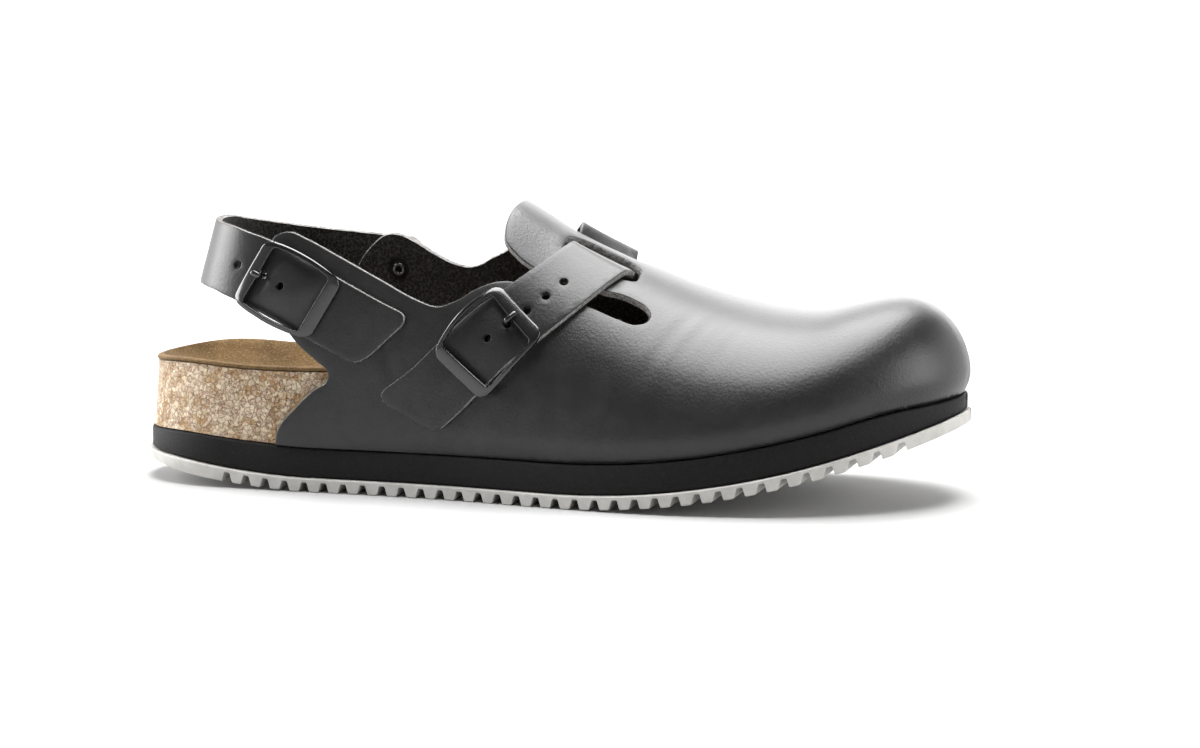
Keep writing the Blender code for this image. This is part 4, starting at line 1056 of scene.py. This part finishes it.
# %% Creases
# Soft lines where the leather bends, each a line over the pattern: its middle (s, u), its half
# length in u, how far it leans in s over that length, its half width in s and its depth in metres.
CREASES = (
    (0.640, -0.50, 0.20, 0.020, 0.0060, 0.00034),
    (0.668, -0.44, 0.17, 0.016, 0.0050, 0.00028),
    (0.700, -0.50, 0.15, 0.012, 0.0055, 0.00024),
    (0.655, 0.42, 0.20, -0.016, 0.0060, 0.00032),
    (0.688, 0.46, 0.16, -0.012, 0.0050, 0.00024),
    (0.560, -0.36, 0.12, 0.030, 0.0060, 0.00026),
    (0.345, -0.72, 0.14, -0.020, 0.0070, 0.00026),
)


def crease(s, u):
    """How deep the creases lie at a place of the pattern."""
    deep = np.zeros(np.broadcast(s, u).shape)
    for mid_s, mid_u, long, lean, wide, depth in CREASES:
        over = (u - mid_u) / long
        beside = (s - mid_s - lean * over) / wide
        fold = 1.4 * np.exp(-beside ** 2) - 0.7 * np.exp(-(beside / 2.2) ** 2)
        deep += depth * np.exp(-over ** 4) * fold
    return deep


def skin(s, u, h):
    """Point of the upper, h above its flesh side."""
    return last(s, u) + normal(last, s, u) * (h - WALL - crease(s, u))[..., None]


# %% Skin of the upper
def upper_skin():
    wing = EDGES["outer wing"]
    toe = np.linspace(wing[0][0], 1, TOE_POINTS)
    front = columns(toe, -np.ones(TOE_POINTS))
    back = columns(toe[::-1], np.ones(TOE_POINTS))
    loops = [np.concatenate((chain(wing, EDGE_FINE)[:-1], back[::-1][:-2], front[::-1][:-1]))]
    loops += [chain(EDGES[name] + EDGES[name][:1], EDGE_FINE)[:-1]
              for name in ("outer slot", "inner slot")]
    s = np.arange(wing[0][0] - 0.03, 1.0, SKIN_STEP * 0.6 / RUN[-1])
    u = np.linspace(-1, 1, SKIN_ROWS)[1:-1]
    rows = np.stack(np.meshgrid(s, u, indexing="ij"), axis=-1).reshape(-1, 2)
    return cut_leather("upper_skin", loops, skin, pattern, rows, SKIN_STEP, WALL, SKIN_NUDGE,
                       raw_loops=3)


shell = hand_over(upper_skin(), "upper")
hand_over(fibres(shell, "upper_edge_fibres"), None)


# %% [markdown]
# ## Straps
# Both straps are flat strips with punched holes, bent round the shoe. A curve with a depth could
# make their section, but not their holes. So each is cut in its own run and width, meshed flat and
# bent last, with a low swell where it bows out of its buckle.
# %% Where a strap meets its buckle
def prong_foot(buckle):
    """Run of the hole that the prong comes up through."""
    return buckle["middle"] + buckle["long"] / 2 - buckle["bar"] - buckle["foot"]


def turned(place, buckle):
    """The strap's surface as the buckle sees it, turned about its prong's foot."""
    foot, angle = prong_foot(buckle), buckle["turn"]

    def spot(a, b, h):
        ahead = a - foot
        return place(foot + ahead * math.cos(angle) - b * math.sin(angle),
                     ahead * math.sin(angle) + b * math.cos(angle), h)
    return spot


def frame_height(a, long):
    """Height of the arched frame's under side at a distance from its middle."""
    return STRAP + GAP + FRAME_ARCH * (1 - (2 * a / long) ** 2)


print("prong's hole at", [round(prong_foot(b) * MM, 1) for b in (INSTEP_BUCKLE, HEEL_BUCKLE)], "mm")


# %% Straps
STRAP_STEP = 0.0015      # between the points of a strap
STRAP_EDGE = 0.0012      # between the points of its outline
STRAP_NUDGE = 0.0005     # in run or width, to find its slope
STRAP_ROUND = 0.0004     # how far its edges round over


def strap_loop(length, slope, step):
    """Outline of a strap in its own run and width: rounded ends, one of them cut aslant."""
    near = STRAP_END * (1 - np.cos(np.linspace(0, math.pi / 2, 8)))
    between = np.arange(STRAP_END, length - STRAP_END, step)[1:]
    a = np.concatenate((near, between, length - near[::-1]))
    short = np.clip(STRAP_END - np.minimum(a, length - a), 0, STRAP_END)
    half = STRAP_WIDTH / 2 - STRAP_END + np.sqrt(STRAP_END ** 2 - short ** 2)
    end = np.linspace(-half[0], half[0], 10)[1:-1]
    loop = np.concatenate((columns(a, half), columns(np.full(8, length), -end),
                           columns(a[::-1], -half[::-1]), columns(np.zeros(8), end)))
    fade = np.clip(1 - loop[:, 0] / STRAP_WIDTH, 0, 1)
    loop[:, 0] += slope * (STRAP_WIDTH / 2 - loop[:, 1]) * fade
    return loop


def ring(a, radius, count=26):
    turn = full_turn(count)
    return columns(a + radius * np.cos(turn), radius * np.sin(turn))


def bent(place, buckle):
    """The strap's surface with a low swell in the buckle's window, where the leather bows out."""
    half = (buckle["long"] - buckle["bar"] - FRAME_PLATE) / 2
    middle = buckle["middle"] + (FRAME_PLATE - buckle["bar"]) / 2

    def spot(a, b, h):
        along, over = (a - middle) / half, 2 * b / STRAP_WIDTH
        bow = np.clip(1 - along ** 2, 0, 1) * np.clip(1 - over ** 2, 0, 1)
        return place(a, b, h + buckle["swell"] * bow)
    return spot


def strap_skin(name, place, buckle):
    length = run_length(place)
    place = bent(place, buckle)
    loops = [strap_loop(length, buckle["slant"], STRAP_EDGE)]
    loops += [ring(prong_foot(buckle) + i * HOLE_PITCH, HOLE / 2) for i in buckle["holes"]]
    loops.append(ring(length - RIVET_PLACE, RIVET_SHANK / 2))
    run, over = (np.arange(start, end, STRAP_STEP)
                 for start, end in ((0, length), (-STRAP_WIDTH / 2, STRAP_WIDTH / 2)))
    seeds = np.stack(np.meshgrid(run, over, indexing="ij"), axis=-1).reshape(-1, 2)

    def flat(a, b):
        return columns(a, b)
    return cut_leather(name, loops, place, flat, seeds, STRAP_STEP, STRAP, STRAP_NUDGE, STRAP_ROUND)


INSTEP_BUCKLE["swell"], HEEL_BUCKLE["swell"] = 0.0012, 0.0027
for kind, place, buckle in (("instep", instep, INSTEP_BUCKLE), ("heel", heel, HEEL_BUCKLE)):
    band = hand_over(strap_skin(kind + "_strap_skin", place, buckle), kind + "_strap")
    hand_over(fibres(band, kind + "_edge_fibres"), None)


# %% [markdown]
# ## Buckles
# A stamped frame, broad at its plate and thin at its sides, arches over the strap. A flat rod comes
# up through a hole and lies over the bar. A Bevel modifier would round every edge alike. A section
# that is drawn round the window keeps the plate flat and the corners soft.
# %% Frames
FRAME_SOFT = 0.00055     # rounding of the frame's section


def rounded(corners, radius, steps=3):
    """Polygon with each corner turned into a short arc; corners is n x 2."""
    out = []
    for i, c in enumerate(corners):
        before, after = corners[i - 1] - c, corners[(i + 1) % len(corners)] - c
        for v in (before, after):
            v *= min(radius, 0.45 * np.linalg.norm(v)) / np.linalg.norm(v)
        for t in np.linspace(0, 1, steps + 1):
            out.append(c + before * (1 - t) ** 2 + after * t * t)
    return np.array(out)


def round_square(corner, per_side=9, per_corner=8):
    turn = np.linspace(0, math.pi / 2, per_corner)
    side = np.linspace(corner - 1, 1 - corner, per_side + 2)[1:-1]
    a = np.concatenate((np.ones(per_side), 1 - corner + corner * np.cos(turn)))
    b = np.concatenate((side, 1 - corner + corner * np.sin(turn)))
    return np.concatenate((a, -b, -a, b)), np.concatenate((b, a, -b, -a))


def frame_metal(name, place, buckle):
    long, bar = buckle["long"], buckle["bar"]
    ra, rb = round_square(FRAME_CORNER)
    outer = columns(ra * long / 2, rb * (buckle["wide"] / 2 + FRAME_BOW * (1 - ra * ra)))
    ra, rb = round_square(WINDOW_CORNER)
    inner_a = (ra * (long - bar - FRAME_PLATE) + FRAME_PLATE - bar) / 2
    inner_b = rb * (buckle["wide"] / 2 - FRAME_SIDE + FRAME_BOW * (1 - (2 * inner_a / long) ** 2))
    inner = columns(inner_a, inner_b)
    rings = []
    for o, n in zip(outer, inner):
        across_bar = np.linalg.norm(n - o)
        corners = np.array(((0, 0), (0, FRAME_RIM * FRAME_THICK), (across_bar, FRAME_THICK),
                            (across_bar, 0)))
        for w, h in rounded(corners, FRAME_SOFT):
            spot = o + (n - o) * w / across_bar
            rings.append((spot[0], spot[1], h + frame_height(spot[0], long)))
    a, b, h = np.array(rings).T
    around = len(rings) // len(outer)
    faces = ring_faces(len(outer), around, closed=True)
    return solid(name, place(buckle["middle"] + a, b, h), faces, (METAL,))


# %% Prongs
PRONG_RINGS, PRONG_SIDES = 36, 14
TIP_START, TIP_LONG = 31, 4.2    # ring where the tip begins to close, and over how many rings


def prong_metal(name, place, buckle):
    """Rod of oval section out of the strap's hole and over the bar, closing off at its tip."""
    bar_run = buckle["long"] / 2 - buckle["bar"]
    bar, foot = (buckle["middle"] + bar_run - run for run in (0, buckle["foot"]))
    top = frame_height(bar_run, buckle["long"]) + FRAME_THICK + GAP + PRONG_THICK / 2
    path = table("t a h", (0, foot, 0.1 * STRAP), (1, foot, STRAP + GAP),
                 (2, foot + 0.2 * buckle["foot"], top), (3, bar, top + GAP),
                 (4, bar + 0.3 * buckle["bar"], top), (5, bar + 0.55 * buckle["bar"], top - GAP))
    t = np.linspace(0, 5, PRONG_RINGS)
    line = columns(read(path, "a", t), read(path, "h", t))
    lead = np.gradient(line, axis=0)
    lead /= np.linalg.norm(lead, axis=1, keepdims=True)
    round_off = np.sqrt(1 - np.clip((np.arange(PRONG_RINGS) - TIP_START) / TIP_LONG, 0, 1) ** 2)
    turn = full_turn(PRONG_SIDES)
    lift, wide = np.sin(turn) * PRONG_THICK / 2, np.cos(turn) * PRONG_WIDE / 2
    a = line[:, :1] - lead[:, 1:] * lift * round_off[:, None]
    h = line[:, 1:] + lead[:, :1] * lift * round_off[:, None]
    return lofted(name, place(a, wide * round_off[:, None], h), METAL)


for kind, place, buckle in (("instep", instep, INSTEP_BUCKLE), ("heel", heel, HEEL_BUCKLE)):
    face = turned(place, buckle)
    for part, make in (("frame", frame_metal), ("prong", prong_metal)):
        metal = make(kind + "_" + part + "_metal", face, buckle)
        hand_over(metal, kind + "_buckle_" + part)


# %% [markdown]
# ## Rivets
# A rivet with a domed head holds the far end of each strap, and its hollow end is turned over
# inside. Both ends are one turned profile, so a list of radii and heights spun round makes it.
# %% Rivets
def rivet_metal(name, place, a):
    """Domed head outside, and inside a turned-over ring round a small hollow."""
    spot, tip = (place(np.array([a]), np.array([0.0]), np.array([h]))[0] for h in (0.0, STRAP))
    axis = Vector(tip - spot).normalized()
    sizes = RIVET_HEAD, RIVET_SHANK, RIVET_RING, RIVET_BORE
    head, shank, curl, bore = (size / 2 for size in sizes)
    top, under = STRAP + GAP, -WALL - 2 * GAP
    profile = [(head * math.sin(t), top + RIVET_LIP + (RIVET_DOME - RIVET_LIP) * math.cos(t))
               for t in np.linspace(0, math.pi / 2, 9)]
    profile += [(head, top), (shank, top), (shank, under), (curl, under)]
    middle, tube = (curl + bore) / 2, (curl - bore) / 2
    profile += [(middle + tube * math.cos(t), under - RIVET_LIP - tube * 0.6 * math.sin(t))
                for t in np.linspace(0, math.pi, 7)]
    profile += [(bore, 0.5 * under), (0, 0.5 * under)]
    turn = full_turn(40)
    rings = [[(r * math.cos(t), r * math.sin(t), z) for t in turn] for r, z in profile]
    pose = Matrix.Translation(spot) @ axis.to_track_quat("Z", "Y").to_matrix().to_4x4()
    points = np.array([[pose @ Vector(p) for p in row] for row in rings])
    return lofted(name, points, METAL, sharp=40)


for kind, place in (("instep", instep), ("heel", heel)):
    end = run_length(place) - RIVET_PLACE
    hand_over(rivet_metal(kind + "_rivet_metal", place, end), kind + "_strap_rivet")


# %% [markdown]
# ## Sole
# The sole is a slab of black foam on a ribbed rubber tread. Booleans could cut the grooves, but
# they leave slivers where the outline bends. So the tread is one loft along the shoe: its stations
# stand closest where a rib starts or ends, and a groove is only a rise of its lowest rows.
# %% Midsole
FOAM_SOFT = 0.0007       # rounding of the midsole's edges
FOAM_STEP = 0.0016       # between its stations


def across(along, shares, inset):
    """Rows of points over the width at each station, between the two edges."""
    x, outer = edge(along, -1, inset)
    inner = edge(along, 1, inset)[1]
    y = outer[:, None] + (inner - outer)[:, None] * (np.asarray(shares) + 1) / 2
    return np.broadcast_to(x[:, None], y.shape), y


def stations(step):
    count = int(RUN[-1] / step)
    return np.clip(np.interp(np.linspace(0, RUN[-1], count), RUN, EVEN), END, 1 - END)


def midsole_foam():
    """Side walls with softly rounded edges above and below."""
    along = stations(FOAM_STEP)
    rows = []
    for side in (-1, 1):
        for t in np.linspace(0, math.pi / 2, 4):
            rows.append((side, FOAM_SOFT * (1 - math.sin(t)), 0, FOAM_SOFT * (1 - math.cos(t))))
        for t in np.linspace(math.pi / 2, 0, 4):
            rows.append((side, FOAM_SOFT * (1 - math.sin(t)), 1, -FOAM_SOFT * (1 - math.cos(t))))
    rows = rows[:8] + rows[:7:-1]
    walls = []
    for side, inset, share, lift in rows:
        x, y = edge(along, side, MIDSOLE_INSET + inset)
        low, high = outsole_top(x) + GAP, midsole_top(x)
        walls.append(columns(x, y, low + (high - low) * share + lift))
    return lofted("midsole_foam", np.stack(walls, axis=1), FOAM)


hand_over(midsole_foam(), "midsole")

# %% Tread
LUG_SOFT = 0.00045       # rounding of the ribs' corners
RUBBER_SOFT = 0.0004     # bevel along the sides of the tread


def outsole_rubber():
    """Ribbed tread; each corner of a lug is broken by a small round."""
    flank = (LUG_ROOT - LUG_FOOT) / 2
    room = LENGTH - HEEL_BAND - TOE_BAND - 2 * flank
    groove = LUG_PITCH - LUG_ROOT
    count = int(round((room - groove) / LUG_PITCH))
    pitch = (room - groove) / count
    corner = [(HEEL_BAND, 0.0), (HEEL_BAND + flank, 1.0)]
    for i in range(count):
        start = HEEL_BAND + flank + groove + i * pitch
        corner += [(start, 1.0), (start + flank, 0.0), (start + flank + LUG_FOOT, 0.0),
                   (start + LUG_ROOT, 1.0)]
    corner += [(LENGTH - TOE_BAND - flank, 1.0), (LENGTH - TOE_BAND, 0.0)]
    metric = np.array(corner) * (1, LUG_DEPTH)
    soft = []
    for i, c in enumerate(metric):
        if i in (0, len(metric) - 1):
            soft.append(c)
            continue
        before, after = metric[i - 1] - c, metric[i + 1] - c
        for v in (before, after):
            v *= LUG_SOFT / np.linalg.norm(v)
        soft += [c + before * (1 - t) ** 2 + after * t * t for t in (0, 0.35, 0.65, 1)]
    soft = np.array(soft)
    heel = HEEL_BAND * (1 - np.cos(np.linspace(0, math.pi / 2, 40)))[:-1]
    toe = LENGTH - TOE_BAND * (1 - np.sin(np.linspace(0, math.pi / 2, 26)))[1:]
    run = np.concatenate((heel, soft[:, 0], toe))
    cut = np.concatenate((0 * heel, soft[:, 1], 0 * toe))
    on_lug = ((run > HEEL_BAND + flank) & (run < LENGTH - TOE_BAND - flank)).astype(float)
    along = np.clip(run / LENGTH, END, 1 - END)
    half = CHANNEL / BALL_WIDTH
    side = [CHANNEL_PLACE + k * half for k in (-1, -0.6, 0.6, 1)] + [0.7, 0.99, 1]
    shares = np.array([-c for c in side[::-1]] + [0] + side)
    channel = np.array([0, 0, 0, 0, 1, 1, 0, 0, 0, 1, 1, 0, 0, 0, 0.0])
    bevel = np.where(np.abs(shares) == 1, RUBBER_SOFT, 0)
    x, y = across(along, shares, 0.0)
    ramp = np.clip(run / HEEL_BAND, 0, 1) ** 2 * np.clip((LENGTH - run) / TOE_BAND, 0, 1)
    x = x + LUG_CHEVRON * ramp[:, None] * np.clip(1 - np.abs(shares) / CHANNEL_PLACE, 0, 1)
    z = tread(x) + np.maximum(cut[:, None], on_lug[:, None] * channel * LUG_DEPTH) + bevel
    bottom = columns(x, y, z)
    upper_rows = []
    for hand, inset, drop in ((1, 0, RUBBER_SOFT), (1, RUBBER_SOFT, 0), (-1, RUBBER_SOFT, 0),
                              (-1, 0, RUBBER_SOFT)):
        ex, ey = edge(along, hand, inset)
        upper_rows.append(columns(ex, ey, outsole_top(ex) - drop))
    rings = np.concatenate((bottom, np.stack(upper_rows, axis=1)), axis=1)
    return lofted("outsole_rubber", rings, RUBBER, sharp=38)


hand_over(outsole_rubber(), "outsole")


# %% [markdown]
# ## Cork and lining
# The footbed is pressed cork, and its suede cover ends in a rolled edge at the rim. Both are lofts
# like the sole. The torn face of the cork gets a real relief from the second tree, because bump in
# a material would leave its outline too clean.
# %% The footbed's shape
OVERHANG = 0.0004        # how far the suede stands out over the side of the cork
LINING_STEP = 0.0014     # between its stations


def cork_inset(along):
    return CORK_INSET * read(PROFILE, "inset", along)


def rim(x):
    return midsole_top(x) + GAP + CORK_RIM * read(PROFILE, "rim", x / LENGTH)


def dish(along, shares):
    """Rows of points on the cork inside its lip: a cup at the heel, an arch, a shallow forefoot."""
    x, y = across(along, shares, cork_inset(along) + CORK_DRAFT + CORK_LIP)
    tip = np.minimum(along, 1 - along) * LENGTH / CUP_END
    deep = CORK_RIM * read(PROFILE, "cup", along) * (1 - np.clip(1 - tip, 0, 1) ** 3)
    hollow = 1 - np.abs(shares) ** 3
    arch = ARCH_RISE * np.exp(-((along - ARCH_PLACE) / ARCH_REACH) ** 2)
    lift = np.clip(shares, 0, 1) * (1 - np.abs(shares))
    z = rim(x) - deep[:, None] * hollow + arch[:, None] * lift
    return columns(x, y, z)


def cork_side(along, share, side):
    """Point on the bare side of the cork, share of the way up to its rim."""
    x, y = edge(along, side, cork_inset(along) + CORK_DRAFT * share)
    low = midsole_top(x) + GAP
    return columns(x, y, low + (rim(x) - low) * share)


# %% Cork
def cork_body():
    heel_run = np.linspace(0, 0.36 * RUN[-1], 170)
    runs = np.concatenate((heel_run, np.linspace(heel_run[-1], RUN[-1], 60)[1:]))
    along = np.clip(np.interp(runs, RUN, EVEN), END, 1 - END)
    up_share = np.linspace(0, 1, 34)
    near = [cork_side(along, t, -1) for t in up_share]
    far = [cork_side(along, t, 1) for t in up_share[::-1]]
    top = dish(along, np.linspace(-1, 1, 15))
    rings = np.concatenate((np.stack(near, axis=1), top, np.stack(far, axis=1)), axis=1)
    return lofted("cork_body", rings, CORK, sharp=60)


hand_over(relief(cork_body()), "footbed")


# %% Lining
def lining():
    """Suede over the dish; at the rim it runs out over the cork's lip and ends in a soft edge."""
    along = stations(LINING_STEP)[1:-1]
    low = dish(along, np.linspace(-1, 1, 33)) + (0, 0, GAP)
    high = low[:, ::-1] + (0, 0, LINING)
    parts = [low]
    for side, turn in ((1, np.linspace(-0.5, 0.5, 7)), (-1, np.linspace(0.5, -0.5, 7))):
        for t in turn * math.pi:
            out = OVERHANG - LINING / 2 * (1 - math.cos(t))
            x, y = edge(along, side, cork_inset(along) + CORK_DRAFT - out)
            z = rim(x) + GAP + LINING / 2 * (1 + math.sin(t))
            parts.append(columns(x, y, z)[:, None])
        if side > 0:
            parts.append(high)
    return lofted("suede_lining", np.concatenate(parts, axis=1), SUEDE, sharp=60)


hand_over(lining(), "insole")

# %% [markdown]
# ## Floor and light
# The photograph was taken on white. A round room of pale paper glows behind the shoe and is dim in
# front of it, which keeps the side of the leather dark. Soft lamps draw the long highlights. A sky
# picture could light it too, but lamps can be moved one at a time. The room suits every side.
# %% Floor and light
ROOM = 6.0               # radius of the round studio
ROOM_TALL = 3.0
ROOM_SIDES = 64


def paper(name, start, end):
    """Pale paper that glows away from the shoe, and more behind it than in front of it."""
    look = Look(name, Roughness=0.9, Base_Color=(0.45, 0.45, 0.45, 1), Emission_Strength=1.0)
    away = look.vector("LENGTH", look.place, out="Value")
    behind = look.node("ShaderNodeSeparateXYZ", None, {0: look.place}, out=1).ramp(-1.0, 1.6)
    dim = look.mix(behind, (0.22, 0.22, 0.22), (1.05, 1.05, 1.05))
    glow = look.mix(away.ramp(start, end), (0.0, 0.0, 0.0), dim)
    look.join(glow, "Emission Color")
    return look.material


def staged(name, points, faces, material):
    mesh = bpy.data.meshes.new(name)
    mesh.from_pydata(points, [], faces)
    mesh.materials.append(material)
    linked(name, mesh)


def lamp(name, spot, aim, wide, tall, power):
    light = bpy.data.lights.new(name, "AREA")
    light.shape, light.size, light.size_y, light.energy = "RECTANGLE", wide, tall, power
    obj = linked(name, light)
    obj.location = spot
    obj.rotation_euler = (Vector(aim) - Vector(spot)).to_track_quat("-Z", "Y").to_euler()
    obj.visible_camera = False


# %% The room and its lamps
turn = [i * math.tau / ROOM_SIDES for i in range(ROOM_SIDES)]
low = [(ROOM * math.cos(t), ROOM * math.sin(t), 0) for t in turn]
high = [(x, y, ROOM_TALL) for x, y, z in low]
staged("floor", low, [list(range(ROOM_SIDES))], paper("pale_floor", 0.45, 1.1))
after = [(i + 1) % ROOM_SIDES for i in range(ROOM_SIDES)]
wall = [[i, j, ROOM_SIDES + j, ROOM_SIDES + i] for i, j in enumerate(after)]
staged("backdrop", low + high, wall, paper("pale_wall", 0.0, 1.0))
world = bpy.data.worlds.new("studio")
world.use_nodes = True
sky = world.node_tree.nodes["Background"].inputs
sky["Color"].default_value, sky["Strength"].default_value = (1, 1, 1, 1), 0.07
bpy.context.scene.world = world
lamp("overhead", (-0.02, 0.33, 1.15), (-0.02, 0.32, 0.0), 0.9, 1.55, 51)
lamp("behind", (-0.15, 1.6, 0.55), (-0.05, 0, 0.06), 1.3, 1.0, 11)
lamp("left", (-1.2, 0.05, 0.35), (-0.1, 0, 0.06), 0.9, 1.0, 25)
lamp("right", (1.25, 0.0, 0.35), (0.1, 0, 0.06), 0.6, 0.9, 8)
bpy.context.scene.view_settings.view_transform = "Standard"
print("room", ROOM, "m, lamps", len(bpy.data.lights))
